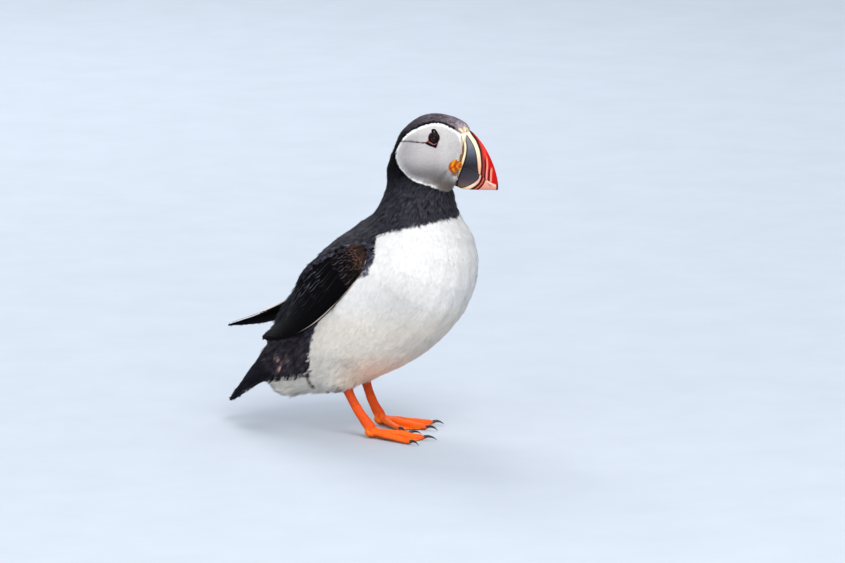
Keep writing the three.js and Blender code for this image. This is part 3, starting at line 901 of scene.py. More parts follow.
    def bare(self, points: Array) -> Array:
        """Whether each place is under the bill, the cere, a rosette or an eye's plates."""
        seen = self.anatomy.profile(points)
        side = np.abs(self.anatomy.head.measure(points)[:, 1])
        u, w = seen.T
        under_bill = (u > ramp(w, self.bill_line)) & (side < self.bill_side) & (w > self.bill_low)
        middle, reach = self.corner
        rosette = ((u - middle[0]) / reach[0]) ** 2 + ((w - middle[1]) / reach[1]) ** 2 < 1
        return under_bill | (rosette & (side > 4)) | ((self.patch.depth(seen) > 0.2) & (side > 9))

    def tint(self, points: Array, zone: Array) -> Array:
        """The colour of each place, from its zone and where it lies in it."""
        seen = self.anatomy.profile(points)
        plane = self.anatomy.aside(points)
        body = self.anatomy.body.measure(points)
        w = seen[:, 1]
        f, _, z = body.T
        along, high = plane.T
        tint = np.zeros((len(points), 3))
        under = mix(PALETTE.belly, PALETTE.breast, ease(z, 78, 104))
        # a painted warm reflection on the lower belly
        under = mix(under, PALETTE.warm_reflection, ease(-high, -62, -38) * ease(along, -50, -22))
        # painted shade: the underparts darker about one place on the breast
        shaded = hump(np.hypot(along + 2, high - 92) / 30, 0, 1)
        under = under * (1 - 0.2 * shaded)[:, None]
        # darker about the top of the leg: partly a dark fringe of feathers, partly painted shade
        strand = np.hypot((along + 45) / 6, (high - 29) / 5) + 0.35 * np.sin(along * 7 + high * 2.3)
        under = mix(under, PALETTE.rump, 0.8 * (1 - ease(strand, 0.5, 0.9)))
        streak = 1 - ease(np.hypot((along + 82.5) / 7, (high - 50) / 9), 0.4, 1)
        streak = streak * ease(np.sin(2.0 * along - 1.1 * high), 0.3, 0.9)
        rump = mix(PALETTE.rump, PALETTE.rump_streak, 0.7 * streak)
        above = high - ramp(along, self.mantle_line)
        # the dark band along the back's lower edge over the wing is a painted shadow
        back = mix(PALETTE.mantle, PALETTE.nape, np.maximum(ease(-f, 46, 62), 0.8 * hump(above, -0.2, 1.3)))
        fills = {
            Zone.CROWN: self.crown_tint(seen),
            Zone.NECK: mix(PALETTE.neck, PALETTE.nape, np.maximum(ease(w, -34, -14), self.border(seen))),
            Zone.BREAST: under,
            Zone.BELLY: under,
            Zone.THIGH: under,
            Zone.VENT: mix(under, PALETTE.vent, 0.6),
            Zone.MANTLE: back,
            Zone.RUMP: rump,
            Zone.MARK: np.tile(PALETTE.nape, (len(points), 1)),
            Zone.WING: mix(PALETTE.wing, PALETTE.wrist, ease(f, -34, -12) * 0.22),
            Zone.TAIL: np.tile(PALETTE.tail, (len(points), 1)),
            Zone.FACE: self.face_tint(seen),
            Zone.BARE: self.bare_tint(seen),
        }
        for kind, fill in fills.items():
            chosen = zone == kind
            tint[chosen] = fill[chosen]
        return tint

    def border(self, seen: Array) -> Array:
        """1 beside the face patch, falling to 0 a little way out from it."""
        return (1 - ease(-self.face.depth(seen), 0.7, 1.5)) * (1 - ease(seen[:, 0], 19, 22))

    def crown_tint(self, seen: Array) -> Array:
        """The crown: grey in front and on top, black behind and along the face, pale over the bill."""
        u, w = seen.T
        tint = mix(PALETTE.nape, PALETTE.crown_back, ease(u, -21, -13))
        tint = mix(tint, PALETTE.crown, ease(u, -8, 4))
        tint = mix(tint, PALETTE.crown * 2.1, ease(u, 11, 20))
        tint = mix(tint, PALETTE.crown * 3.4, 0.8 * ease(u, 19, 25) * ease(-w, -20, -15))
        tint = mix(tint, PALETTE.nape, self.border(seen))
        knob = np.hypot((u - 26.0) / 3.4, (w - 13.2) / 2.8) + 0.1 * np.sin(u * 2.1 + w * 3.3)
        return mix(tint, PALETTE.knob, 1 - ease(knob, 0.6, 1.3))

    def bare_tint(self, seen: Array) -> Array:
        """The bare skin: a brown line along the plumage, cream by the cere, the face's colour elsewhere."""
        u, w = seen.T
        beyond = u - ramp(w, self.bill_line)
        cream = mix(srgb(132, 88, 48), srgb(252, 240, 208), ease(beyond, 0.35, 0.9))
        return mix(self.face_tint(seen), cream, ease(beyond, -0.2, 0) * ease(w, -9, -6))

    def face_tint(self, seen: Array) -> Array:
        """The face patch: white at its rim, grey on the cheek with painted light and shade, brownish at the
        chin, with painted shade along the jowl and a dark furrow that is partly painted shade.
        """
        u, w = seen.T
        # Partly the face's own greys, partly painted light and shade: lighter at the front and on top, darker
        # behind and low on the cheek.
        tint = mix(PALETTE.cheek, PALETTE.cheek_front, np.maximum(ease(u, 5, 15), ease(w, 9, 16)))
        tint = tint * (1 - 0.2 * ease(-u, 2, 15))[:, None]
        tint = mix(tint, PALETTE.cheek_low, ease(-w, 3, 19) * (0.85 - 0.3 * ease(u, 6, 16)))
        inside = self.face.depth(seen)
        tint = mix(tint, mix(PALETTE.cheek_front, tint, 0.5), 1 - ease(inside, 2.5, 6))
        rim = (1 - ease(inside, 1.1, 2.8)) * (1 - ease(u, 20, 23) * ease(-w, -9, -4))
        tint = mix(tint, PALETTE.cheek_rim, rim)
        chin = ease(-w, 15.5, 23) * ease(u, 3, 10)
        tint = mix(tint, PALETTE.chin, 0.9 * chin)
        # painted shade along the jowl's crease
        tint = mix(tint, PALETTE.chin, 0.5 * (1 - ease(self.jowl.nearest(seen).distance, 0.4, 2.2)))
        corner = np.hypot((u - 20) / 3.4, (w + 15.6) / 1.8)
        tint = mix(tint, srgb(142, 98, 78), 0.9 * (1 - ease(corner, 0.5, 1.2)))
        # the furrow behind the eye: dark, partly painted shade in its groove
        furrow = self.furrow.nearest(seen)
        line = (1 - ease(furrow.distance, 0.3, 0.85)) * (1 - 0.45 * furrow.share)
        return mix(tint, PALETTE.furrow, line)


class Lie:
    """Which way the feathers lie: from the bill back over the head, and down to the tail and legs.

    Each guide is a place in the side view, forward and up, and the way the feathers lie there.
    """

    HEAD_GUIDES: tuple[tuple[float, float, float, float], ...] = (
        (26, 15, -0.55, 0.85), (20, 21, -0.85, 0.5), (5, 26, -1, 0.05), (-14, 18, -0.8, -0.6),
        (-24, 2, -0.35, -0.95), (-22, -14, -0.3, -0.95), (22, 4, -1, 0.15), (10, 8, -1, 0.02),
        (-6, 8, -1, -0.08), (18, -6, -1, -0.1), (4, -6, -0.96, -0.25), (-12, -6, -0.85, -0.5),
        (20, -20, -0.95, -0.2), (10, -26, -0.85, -0.5), (0, -22, -0.75, -0.65), (-12, -22, -0.5, -0.85),
        (16, -14, -0.98, -0.2), (0, -32, -0.25, -0.97),
    )
    BODY_GUIDES: tuple[tuple[float, float, float, float], ...] = (
        (40, 168, 0.05, -1), (0, 168, -0.25, -0.97), (-14, 160, -0.4, -0.9), (46, 150, 0.1, -1),
        (62, 125, -0.15, -1), (58, 105, -0.35, -0.94), (35, 80, -0.7, -0.72), (5, 58, -0.85, -0.5),
        (-25, 40, -0.75, -0.62), (-45, 36, -0.8, -0.55), (-70, 30, -1, -0.15), (-90, 24, -0.95, -0.3),
        (20, 120, -0.35, -0.94), (0, 95, -0.5, -0.87), (-20, 75, -0.6, -0.8), (-38, 62, -0.5, -0.87),
        (-55, 58, -0.72, -0.7), (-80, 56, -0.8, -0.6), (-76, 44, -0.5, -0.87), (-90, 40, -0.7, -0.7),
        (-30, 135, -0.72, -0.7), (-52, 112, -0.78, -0.63), (-75, 82, -0.8, -0.6), (-100, 52, -0.85, -0.52),
        (-125, 25, -0.75, -0.66), (-20, 120, -0.7, -0.72),
    )

    def __init__(self, anatomy: Anatomy) -> None:
        """Keeps the bird's axes."""
        self.anatomy = anatomy

    def guided(self, plane: Array, guides: Lines) -> Array:
        """Directions in a side view, from the guides nearest to each place."""
        rows = np.asarray(guides, float)
        near = ((plane[:, None] - rows[None, :, :2]) ** 2).sum(-1)
        weight = 1 / (near + 36) ** 2
        return (weight[..., None] * rows[None, :, 2:]).sum(1)

    def ways(self, points: Array, normals: Array, sway: Array) -> Array:
        """The lie of the feathers along the surface.

        Args:
            points: places in the row's frame.
            normals: the surface's directions out there.
            sway: a turn in radians for each feather.

        Returns:
            Directions at length 1.
        """
        head = self.anatomy.head.measure(points)
        body = self.anatomy.body.measure(points)
        over_head = self.guided(head[:, [0, 2]], self.HEAD_GUIDES)
        over_body = self.guided(body[:, [0, 2]], self.BODY_GUIDES)
        zero = np.zeros(len(points))
        head_way = self.anatomy.head.turn(np.stack([over_head[:, 0], zero, over_head[:, 1]], 1))
        body_way = self.anatomy.body.turn(np.stack([over_body[:, 0], zero, over_body[:, 1]], 1))
        way = mix(body_way, head_way, ease(body[:, 2], 164, 180))
        way = unit(way - normals * (way * normals).sum(1, keepdims=True))
        across = np.cross(normals, way)
        return unit(way * np.cos(sway)[:, None] + across * np.sin(sway)[:, None])


# ------------------------------------------------------------------------------- skin


@dataclass
class Flesh:
    """The one skin under the plumage, lying inside the flesh's solids by the coat's depth."""

    anatomy: Anatomy
    markings: Markings
    voxel: float = 1.5  # the size of its faces before they are smoothed
    swell: float = 0.45  # closes the hair gaps between the solids
    smoothing: int = 4
    evening: int = 6  # how many times the coat's depth is evened out between the zones
    shade: float = 0.92  # the skin's tint is this much of its feathers', as painted shade between the tufts
    socket: float = 1.3  # how deep an eye sits
    # Forms that fill the head behind and over the bill: the middle and the reach of each.
    plugs: tuple[Lines, ...] = (((14, 0, -5), (11, 7.2, 17)), ((21.8, 0, 10.6), (8.3, 5.6, 8.3)))
    # Swellings and hollows: the middle of each, its reach and its rise.
    head_pushes: Lines = (
        (-24, 0, 2.5, 12, -1.6), (-27, 0, -16.5, 10, 2.1), (26.5, 0, 15, 8, 1.7), (21, 0, 20, 8, 0.7),
    )
    body_pushes: Lines = ((-26, 0, 149, 16, 1.8),)

    def pushed(self, points: Array, normals: Array) -> Array:
        """The surface's places, raised or sunk to follow the bird's outline."""
        rise = np.zeros(len(points))
        for axes, pushes in ((self.anatomy.head, self.head_pushes), (self.anatomy.body, self.body_pushes)):
            local = axes.measure(points)
            for *middle, reach, height in pushes:
                far = np.linalg.norm(local - np.array(middle), axis=1) / reach
                rise += height * np.maximum(1 - far**2, 0) ** 2 * 1.2
        return points + normals * (rise * MM)[:, None]

    def form(self) -> bmesh.types.BMesh:
        """The flesh's solids, eyes and rosettes, swollen a little so that they run together."""
        form = bmesh.new()
        for name in (*FLESH_NODES, "eye_left", "eye_right", "gape_left", "gape_right"):
            part = bmesh.new()
            part.from_mesh(self.anatomy.nodes[name].data)
            bmesh.ops.remove_doubles(part, verts=part.verts, dist=WELD * MM)
            bmesh.ops.recalc_face_normals(part, faces=part.faces)
            part.normal_update()
            if name in FLESH_NODES:
                for vertex in part.verts:
                    vertex.co += vertex.normal * self.swell * MM
            mesh = bpy.data.meshes.new("part")
            part.to_mesh(mesh)
            part.free()
            form.from_mesh(mesh)
            bpy.data.meshes.remove(mesh)
        axes = self.anatomy.head
        turn = Matrix(axes.rows.T.tolist()).to_4x4()
        for middle, reach in self.plugs:
            place = Matrix.Translation(Vector(axes.place(np.array(middle))))
            size = Matrix.Diagonal([*(MM * value for value in reach), 1])
            bmesh.ops.create_icosphere(form, subdivisions=3, radius=1, matrix=place @ turn @ size)
        return form

    def build(self) -> Piece:
        """Wraps the solids, sinks the wrap by the coat's depth and sculpts it."""
        mesh = remeshed(self.form(), "skin", self.voxel, self.smoothing)
        points, normals, threes = read_mesh(mesh)
        points = self.pushed(points - normals * self.swell * MM, normals)
        self.envelope = BVHTree.FromPolygons(points.tolist(), threes.tolist())
        edges = np.zeros(len(mesh.edges) * 2, np.int32)
        mesh.edges.foreach_get("vertices", edges)
        rng = np.random.default_rng(SEED)
        zone = self.markings.zones(points, rng)
        depth = np.array([COAT_DEPTH[kind] for kind in Zone])[zone]
        for _ in range(self.evening):
            depth = spread(depth, edges.reshape(-1, 2))
        head = self.anatomy.head.measure(points)
        seen = self.anatomy.profile(points)
        for line, deep, reach in ((self.markings.furrow, 0.55, 1.6), (self.markings.jowl, 0.7, 2.2)):
            depth += deep * (1 - ease(line.nearest(seen).distance, 0.2, reach)) * (zone == Zone.FACE)
        far = np.hypot(head[:, 0] - self.anatomy.EYE_FORWARD, head[:, 2] - self.anatomy.EYE_UP)
        depth += self.socket * (1 - ease(far, 2.2, 5.0)) * (np.abs(head[:, 1]) > 9)
        points = points - normals * depth[:, None] * MM
        mesh.vertices.foreach_set("co", points.astype(np.float32).ravel())
        mesh.update()
        paint(mesh, self.markings.tint(points, zone) * self.shade)
        mesh.shade_smooth()
        self.points, self.normals, self.threes = read_mesh(mesh)
        self.surface = BVHTree.FromPolygons(self.points.tolist(), self.threes.tolist())
        return hand_over(link("skin", mesh), SKIN_UNDER.material(), FLESH_NODES)


def spread(values: Array, edges: Array) -> Array:
    """Each vertex's value averaged with its neighbours'."""
    total = values.copy()
    count = np.ones(len(values))
    for a, b in ((edges[:, 0], edges[:, 1]), (edges[:, 1], edges[:, 0])):
        np.add.at(total, a, values[b])
        np.add.at(count, a, 1)
    return total / count


# How far the skin lies under the coat's outside, in millimetres.
COAT_DEPTH = {
    Zone.BARE: 1.0, Zone.FACE: 0.8, Zone.CROWN: 1.0, Zone.NECK: 1.5, Zone.BREAST: 2.0, Zone.BELLY: 2.2,
    Zone.THIGH: 2.6, Zone.VENT: 2.4, Zone.MANTLE: 1.9, Zone.RUMP: 2.1, Zone.WING: 0.9, Zone.TAIL: 0.9,
    Zone.MARK: 0.9,
}


# ------------------------------------------------------------------------------- coat of tufts


@dataclass(frozen=True)
class Tufts:
    """One zone's small feathers, each a fan of thin barbs."""

    zone: Zone
    slot: str
    finish: Finish
    spacing: float  # between roots; this and the next two in millimetres
    length: float
    spread: float  # half the fan's width at its tip
    barbs: int = 6
    barb: float = 0.34  # the width of one barb at its root
    sway: float = 0.12  # how far tufts turn from the lie, in radians
    ruffle: float = 0.12  # how far their tips stand off the coat's outside
    root_shade: float = 0.82  # the tint's strength at a root, below 1 as painted shade under the tufts that overlie it
    tip_shade: float = 1.05  # and at a tip, above 1 as a painted highlight on the tips
    uneven: float = 0.06  # how far tufts differ in shade
    clump: float = 0.0  # how far tufts draw together into strands: the raised ones painted lighter and the sunken ones darker, as painted light and shade
    lift: float = 0.0  # how far they lie over the others


WHITE = ("white_feather", WHITE_PLUMAGE)
BLACK = ("black_feather", BLACK_PLUMAGE)
HEAD_ZONES = (Zone.FACE, Zone.CROWN)
COAT = (
    Tufts(Zone.FACE, "face_feather", FACE_PLUMAGE, 0.8, 2.2, 0.7, 5, 0.26, 0.12, 0.05, 0.9, 1.02, 0.03),
    Tufts(Zone.CROWN, *BLACK, 0.95, 3.2, 0.9, 6, 0.27, 0.14, 0.08, 0.6, 1.2, 0.3),
    Tufts(Zone.NECK, *BLACK, 1.15, 5.2, 1.4, 7, 0.28, 0.18, 0.2, 0.5, 1.4, 0.4, 0.12),
    Tufts(Zone.BREAST, *WHITE, 1.3, 7.5, 2.2, 7, 0.42, 0.1, 0.1, 0.93, 1.01, 0.02, 0.02),
    Tufts(Zone.BELLY, *WHITE, 1.4, 8.5, 2.2, 7, 0.38, 0.16, 0.24, 0.88, 1.02, 0.04, 0.04),
    Tufts(Zone.THIGH, *WHITE, 1.4, 10.5, 1.9, 7, 0.28, 0.22, 0.9, 0.66, 1.04, 0.08, 0.14),
    Tufts(Zone.VENT, *WHITE, 1.4, 8.5, 1.8, 7, 0.28, 0.28, 1.0, 0.62, 1.04, 0.09, 0.15),
    Tufts(Zone.MANTLE, *BLACK, 2.2, 6.5, 2.3, 11, 0.42, 0.16, 0.25, 0.1, 2.5, 0.42, 0.4),
    Tufts(Zone.RUMP, *BLACK, 1.9, 8.0, 1.9, 10, 0.34, 0.2, 0.35, 0.2, 2.0, 0.4, 0.3),
    Tufts(Zone.WING, *BLACK, 1.9, 5.0, 2.0, 7, 0.42, 0.14, 0.05, 0.6, 1.4, 0.2),
    Tufts(Zone.TAIL, *BLACK, 1.9, 8.0, 2.4, 7, 0.42, 0.12, 0.1, 0.6, 1.4, 0.15),
    Tufts(Zone.MARK, *BLACK, 0.9, 4.6, 0.4, 5, 0.24, 0.1, 0.3, 0.8, 1.2, 0.2, 0.0, 1.5),
)


@dataclass
class Coat:
    """Every small feather, scattered evenly over the skin and laid along it."""

    anatomy: Anatomy
    markings: Markings
    flesh: Flesh
    lie: Lie
    tries: int = 420_000  # places drawn, of which the scatter keeps those far enough apart
    crowding: float = 0.72  # the least distance between tufts, as a share of their spacing
    lengths: Pair = (0.82, 1.18)  # the range of their lengths, as shares of their zone's
    over_wing: float = 1.3  # how far the back's tufts stand over the wings, in millimetres
    patch: float = 0.003  # a tuft's size on the bake's map
    spine: Lines = (
        (-135, 15), (-93, 42), (-67, 59), (-43, 78), (-16, 98), (5, 118), (15, 139), (17, 176), (20, 215),
    )  # the body's own line, in its side view, that the map is wrapped round

    def build(self) -> None:
        """Scatters and lays the tufts, zone by zone."""
        rng = np.random.default_rng(SEED + 1)
        places, normals = self.draw(rng)
        zone = self.markings.zones(places, rng)
        for kind in COAT:
            chosen = np.flatnonzero(zone == kind.zone)
            kept = chosen[self.thin(places[chosen], kind.spacing * self.crowding * MM)]
            self.lay(kind, places[kept], normals[kept], rng)

    def draw(self, rng: np.random.Generator) -> tuple[Array, Array]:
        """Places on the skin, spread by area, with the skin's directions there."""
        corners = self.flesh.points[self.flesh.threes]
        areas = np.linalg.norm(np.cross(corners[:, 1] - corners[:, 0], corners[:, 2] - corners[:, 0]), axis=1)
        face = rng.choice(len(areas), self.tries, p=areas / areas.sum())
        a, b = rng.random((2, self.tries))
        flip = a + b > 1
        a, b = np.where(flip, 1 - a, a), np.where(flip, 1 - b, b)
        weight = np.stack([1 - a - b, a, b], 1)[..., None]
        places = (corners[face] * weight).sum(1)
        normals = unit((self.flesh.normals[self.flesh.threes[face]] * weight).sum(1))
        return places, normals

    def thin(self, places: Array, least: float) -> Array:
        """The numbers of the places kept, in their drawn order, no two nearer than least."""
        cells: dict[tuple[int, int, int], list[Spot]] = {}
        around = [(i, j, k) for i in (-1, 0, 1) for j in (-1, 0, 1) for k in (-1, 0, 1)]
        keys = np.floor(places / least).astype(int).tolist()
        kept = []
        square = least * least
        for number, (key, place) in enumerate(zip(keys, places.tolist())):
            x, y, z = place
            i, j, k = key
            for di, dj, dk in around:
                near = cells.get((i + di, j + dj, k + dk))
                if near and any((x - p) ** 2 + (y - q) ** 2 + (z - r) ** 2 < square for p, q, r in near):
                    break
            else:
                cells.setdefault((i, j, k), []).append((x, y, z))
                kept.append(number)
        return np.array(kept, int)

    def unwrap(self, kind: Tufts, places: Array) -> Array:
        """Each root's place on a map wrapped round the head's or the body's own line."""
        if kind.zone in HEAD_ZONES:
            local = self.anatomy.head.measure(places)
            return np.stack([angle_share(local[:, 1], local[:, 2] + 5), (local[:, 0] + 32) / 72], 1)
        local = self.anatomy.body.measure(places)
        near = Outline(self.spine, closed=False).nearest(local[:, [0, 2]])
        return np.stack([angle_share(local[:, 1], -near.side * near.distance), near.share], 1)

    def lay(self, kind: Tufts, places: Array, normals: Array, rng: np.random.Generator) -> None:
        """Builds one zone's tufts as meshes of a fair size."""
        count = len(places)
        sway = rng.normal(0, kind.sway, count)
        ways = self.lie.ways(places, normals, sway)
        length = kind.length * rng.uniform(*self.lengths, count)
        kept = self.trim(kind, places, places + ways * length[:, None] * MM)
        length = length * kept
        tips, tip_normals = self.land(places + ways * length[:, None] * MM * 0.96)
        if kind.zone == Zone.FACE:
            good = self.markings.face.depth(self.anatomy.profile(tips)) > -0.3
            rows = (places, normals, ways, length, kept, tips, tip_normals)
            places, normals, ways, length, kept, tips, tip_normals = (values[good] for values in rows)
            count = len(places)
        strand = self.strands(places)
        lift = np.full(count, kind.lift)
        if kind.zone == Zone.MANTLE:
            wings = [self.anatomy.number("wing_left"), self.anatomy.number("wing_right")]
            lift += self.over_wing * np.isin(self.anatomy.owner(places), wings)
        places = places + normals * (lift * MM)[:, None]
        rise = kind.ruffle * rng.normal(0.5, 0.8, count) - 0.1 + 4 * kind.clump * strand + 0.8 * lift
        tips = tips + tip_normals * (rise * MM)[:, None]
        seat = places if kind.zone in HEAD_ZONES else places + ways * length[:, None] * MM * 0.6
        tint = self.markings.tint(seat, np.full(count, kind.zone))
        # raised strands painted lighter and low ones darker: painted light and shade
        tint = tint * (1 + rng.normal(0, kind.uneven, (count, 1)) + kind.clump * strand[:, None])
        maps = 0.01 + 0.98 * self.unwrap(kind, places)
        most = TRIANGLES_A_PIECE // (kind.barbs * BARB_TRIANGLES)
        parts = math.ceil(count / most)
        order = np.argsort(places[:, 2], kind="stable")
        for number, rows in enumerate(np.array_split(order, parts)):
            heap = Heap()
            picked = (values[rows] for values in (places, normals, tips, tip_normals, tint, maps, kept))
            heap.add(*self.fans(kind, *picked, rng))
            name = f"coat_{kind.zone.name.lower()}" + (f"_{number + 1}" if parts > 1 else "")
            heap.build(name, kind.finish.material(), kind.slot)

    def strands(self, places: Array) -> Array:
        """A value from -1 to 1 that changes quickly across the body's feathers and slowly along them."""
        f, left, z = self.anatomy.body.measure(places).T
        along, across = 0.7 * (f + z), 0.7 * (f - z) + 0.35 * np.abs(left)
        wave = np.sin(across * 1.7 + 1.6 * np.sin(along * 0.31) + 0.8 * np.sin(along * 0.83 + across * 0.4))
        return wave * (0.65 + 0.35 * np.sin(across * 0.7 + along * 0.17))

    def trim(self, kind: Tufts, roots: Array, tips: Array) -> Array:
        """The share of each tuft's length that keeps it on its own side of an edge that is clean."""
        seen = self.anatomy.profile(roots), self.anatomy.profile(tips)
        edges = []
        if kind.slot == "white_feather":
            edges = [(self.markings.white, 1, (self.anatomy.aside(roots), self.anatomy.aside(tips)))]
        elif kind.zone == Zone.FACE:
            edges = [(self.markings.face, 1, seen), (self.markings.patch, -1, seen)]
        elif kind.zone in (Zone.CROWN, Zone.NECK):
            edges = [(self.markings.face, -1, seen)]
        kept = np.ones(len(roots))
        for edge, inside, (start, end) in edges:
            here, there = edge.depth(start) * inside, edge.depth(end) * inside
            share = here / np.where(np.abs(here - there) < 1e-6, 1, here - there)
            share = np.where(here <= 0, 0.15, np.clip(share, 0.15, 1))
            kept = np.where(there < 0, np.minimum(kept, share), kept)
        return kept

    def land(self, points: Array) -> tuple[Array, Array]:
        """The nearest place on the coat's outside, and its direction out."""
        find = self.flesh.envelope.find_nearest
        found = [find(point)[:2] for point in points.tolist()]
        return np.array([place for place, _ in found]), np.array([normal for _, normal in found])

    def fans(
        self,
        kind: Tufts,
        roots: Array,
        normals: Array,
        tips: Array,
        tip_normals: Array,
        tint: Array,
        maps: Array,
        kept: Array,
        rng: np.random.Generator,
    ) -> tuple[Array, list[Array], Array, Array, Array]:
        """Fans of barbs from their roots to their tips.

        Args:
            kind: the zone's tufts.
            roots, normals: where each tuft starts on the skin.
            tips, tip_normals: where it ends on the coat's outside.
            tint: each tuft's colour.
            maps: each tuft's place on the bake's map.
            kept: the share of its length that each tuft has left, which narrows it too.
            rng: draws how the barbs differ.

        Returns:
            What Heap.add takes.
        """
        count, barbs = len(roots), kind.barbs
        run = tips - roots
        reach = np.linalg.norm(run, axis=1)[:, None]
        lifted = roots + run * 0.4 + normals * (0.16 * reach)
        across = unit(np.cross(unit(normals + tip_normals), run))
        fan = np.linspace(-1, 1, barbs)[None] + rng.normal(0, 0.35 / barbs, (count, barbs))
        far = 1 - 0.3 * fan**2 + rng.normal(0, 0.07, (count, barbs))
        twist = rng.normal(0, 0.3, (count, barbs))
        glow = 1 + rng.normal(0, kind.uneven * 1.2, (count, barbs))
        station = np.array([0.0, 0.0, 0.55, 0.55, 1.0])
        edge = np.array([-0.5, 0.5, -0.5, 0.5, 0.0])
        thick = np.array([1.0, 1.0, 0.8, 0.8, 0.0])
        s = far[..., None] * station
        bend = roots[:, None, None] * ((1 - s) ** 2)[..., None]
        bend = bend + lifted[:, None, None] * (2 * s * (1 - s))[..., None]
        bend = bend + tips[:, None, None] * (s**2)[..., None]
        spread = kind.spread * kept[:, None, None]
        sideways = fan[..., None] * spread * (0.12 + 0.88 * s**0.8) + edge * thick * kind.barb
        lift = edge * thick * kind.barb * np.sin(twist)[..., None] - 0.012 * sideways**2
        normal = unit(normals[:, None, None] * (1 - s)[..., None] + tip_normals[:, None, None] * s[..., None])
        points = bend + across[:, None, None] * (sideways * MM)[..., None] + normal * (lift * MM)[..., None]
        # painted shade towards the root and painted highlight towards the tip
        shade = (kind.root_shade + (kind.tip_shade - kind.root_shade) * s**1.5) * glow[..., None]
        colours = tint[:, None, None] * shade[..., None]
        lean = 0.22 * fan[..., None] + 0.28 * np.sin(twist)[..., None]
        facing = normal + across[:, None, None] * lean[..., None]
        lane = (fan[..., None] + edge * 1.2 / barbs) * 0.5 * self.patch
        tall = np.broadcast_to((station - 0.5) * self.patch, lane.shape)
        uv = maps[:, None, None] + np.stack([lane, tall], -1)
        first = np.arange(count * barbs)[:, None] * len(station)
        quads = first + np.array([0, 1, 3, 2])
        threes = first + np.array([2, 3, 4])
        points, colours, facing = (values.reshape(-1, 3) for values in (points, colours, facing))
        return points, [quads, threes], colours, facing, uv.reshape(-1, 2)


def angle_share(left: Array, out: Array) -> Array:
    """The turn about a line as a share from 0 to 1, cut at the back."""
    return np.arctan2(left, out) / (2 * math.pi) + 0.5


# ------------------------------------------------------------------------------- vanes


@dataclass(frozen=True)
class Vane:
    """The shape of one large feather."""

    half: float  # half its width, in millimetres
    round_from: float = 0.72  # where its tip starts to round off
    narrow: float = 0.72  # the leading half's width, as a share of the trailing half's
    camber: float = 0.03
    edge: float = 1.0  # how strong the painted highlight along its margin is
    root: float = 0.5  # how wide it is at its root
    point: float = 1.0  # above 1 the tip is more pointed


VANE_ROWS = 11
VANE_COLUMNS = np.array([-1.0, -0.86, -0.5, -0.09, 0.09, 0.5, 0.86, 1.0])


def vane_mesh(
    lay: Lay, length: float, vane: Vane, base: Array, edge: Array, rng: np.random.Generator
) -> tuple[Array, list[Array], Array, Array]:
    """One feather, laid along a surface.

    Args:
        lay: gives places and directions out from shares of the feather's run, millimetres towards
            its leading side and millimetres over the surface.
        length: its length in millimetres.
        vane: its shape.
        base: its colour.
        edge: the colour of the painted highlight along its margin.
        rng: draws its ragged margin.

    Returns:
        Points, faces, colours and shading directions, in the axes that lay gives.
    """
    s = np.linspace(0, 1, VANE_ROWS)
    wide = vane.root + (1 - vane.root) * ease(s, 0, 0.35)
    tip = np.clip((s - vane.round_from) / (1 - vane.round_from), 0, 1)
    wide = wide * np.sqrt(np.maximum(1 - tip ** (2 / vane.point), 0.0)) + 0.02
    columns = VANE_COLUMNS[None].repeat(VANE_ROWS, 0)
    nick = 1 - 0.22 * (rng.random((VANE_ROWS, 2)) < 0.18) * rng.random((VANE_ROWS, 2))
    columns[:, :2] *= nick[:, :1]
    columns[:, -2:] *= nick[:, 1:]
    reach = np.where(columns > 0, columns * vane.narrow, columns) * vane.half * wide[:, None]
    swept = 0.35 * np.abs(reach) * ease(s, 0.5, 1)[:, None]  # barbs sweep towards the tip
    shaft = np.exp(-((columns / 0.12) ** 2)) * 0.16 * (1 - 0.7 * s)[:, None]
    rise = shaft - vane.camber * reach**2
    share = s[:, None] - swept / length
    points, normals = lay(share.ravel(), reach.ravel(), rise.ravel())
    # painted highlight along a margin from the middle on, and at the tip
    pale = ease(columns, 0.6, 0.9) * ease(s, 0.2, 0.6)[:, None] * vane.edge
    pale = np.maximum(pale, 0.2 * ease(s, 0.9, 1.0)[:, None] * vane.edge)
    streak = 1 + rng.normal(0, 0.16, (1, len(VANE_COLUMNS)))
    colour = mix(base * streak[..., None], edge, pale)
    # darker at the root, as painted shade under the feathers that overlap it
    colour = colour * (0.75 + 0.25 * ease(s, 0, 0.5))[:, None, None]
    tint = np.clip(colour, 0, 1).reshape(-1, 3)
    return points, [grid_faces(VANE_ROWS, len(VANE_COLUMNS))], tint, unit(normals)


def patch_map(place: Pair, patch: float = 0.006) -> Array:
    """A vane's patch on the bake's map about its root's place."""
    s = np.linspace(-0.5, 0.5, VANE_ROWS)[:, None] * np.ones(len(VANE_COLUMNS))
    x = np.ones((VANE_ROWS, 1)) * VANE_COLUMNS[None] * 0.5
    return (np.array(place) + np.stack([x, s], -1) * patch).reshape(-1, 2)


@dataclass(frozen=True)
class FeatherRow:
    """A row of feathers across a wing."""

    count: int
    root: Pair  # share of the wing's run where they start, at the leading and trailing ends
    tip: Pair  # share where they end
    lead: Pair  # the row's reach across the wing, 1 at the leading edge, -1 at the other
    drift: float  # how far a feather slants towards the trailing edge
    vane: Vane
    lift: Pair  # height over the blade at the root and at the tip
    wrist: float = 0.0  # how brown it is
    pale: Pair = (0.1, 1.0)  # how strong the painted highlight on its margins is, at the leading and trailing ends
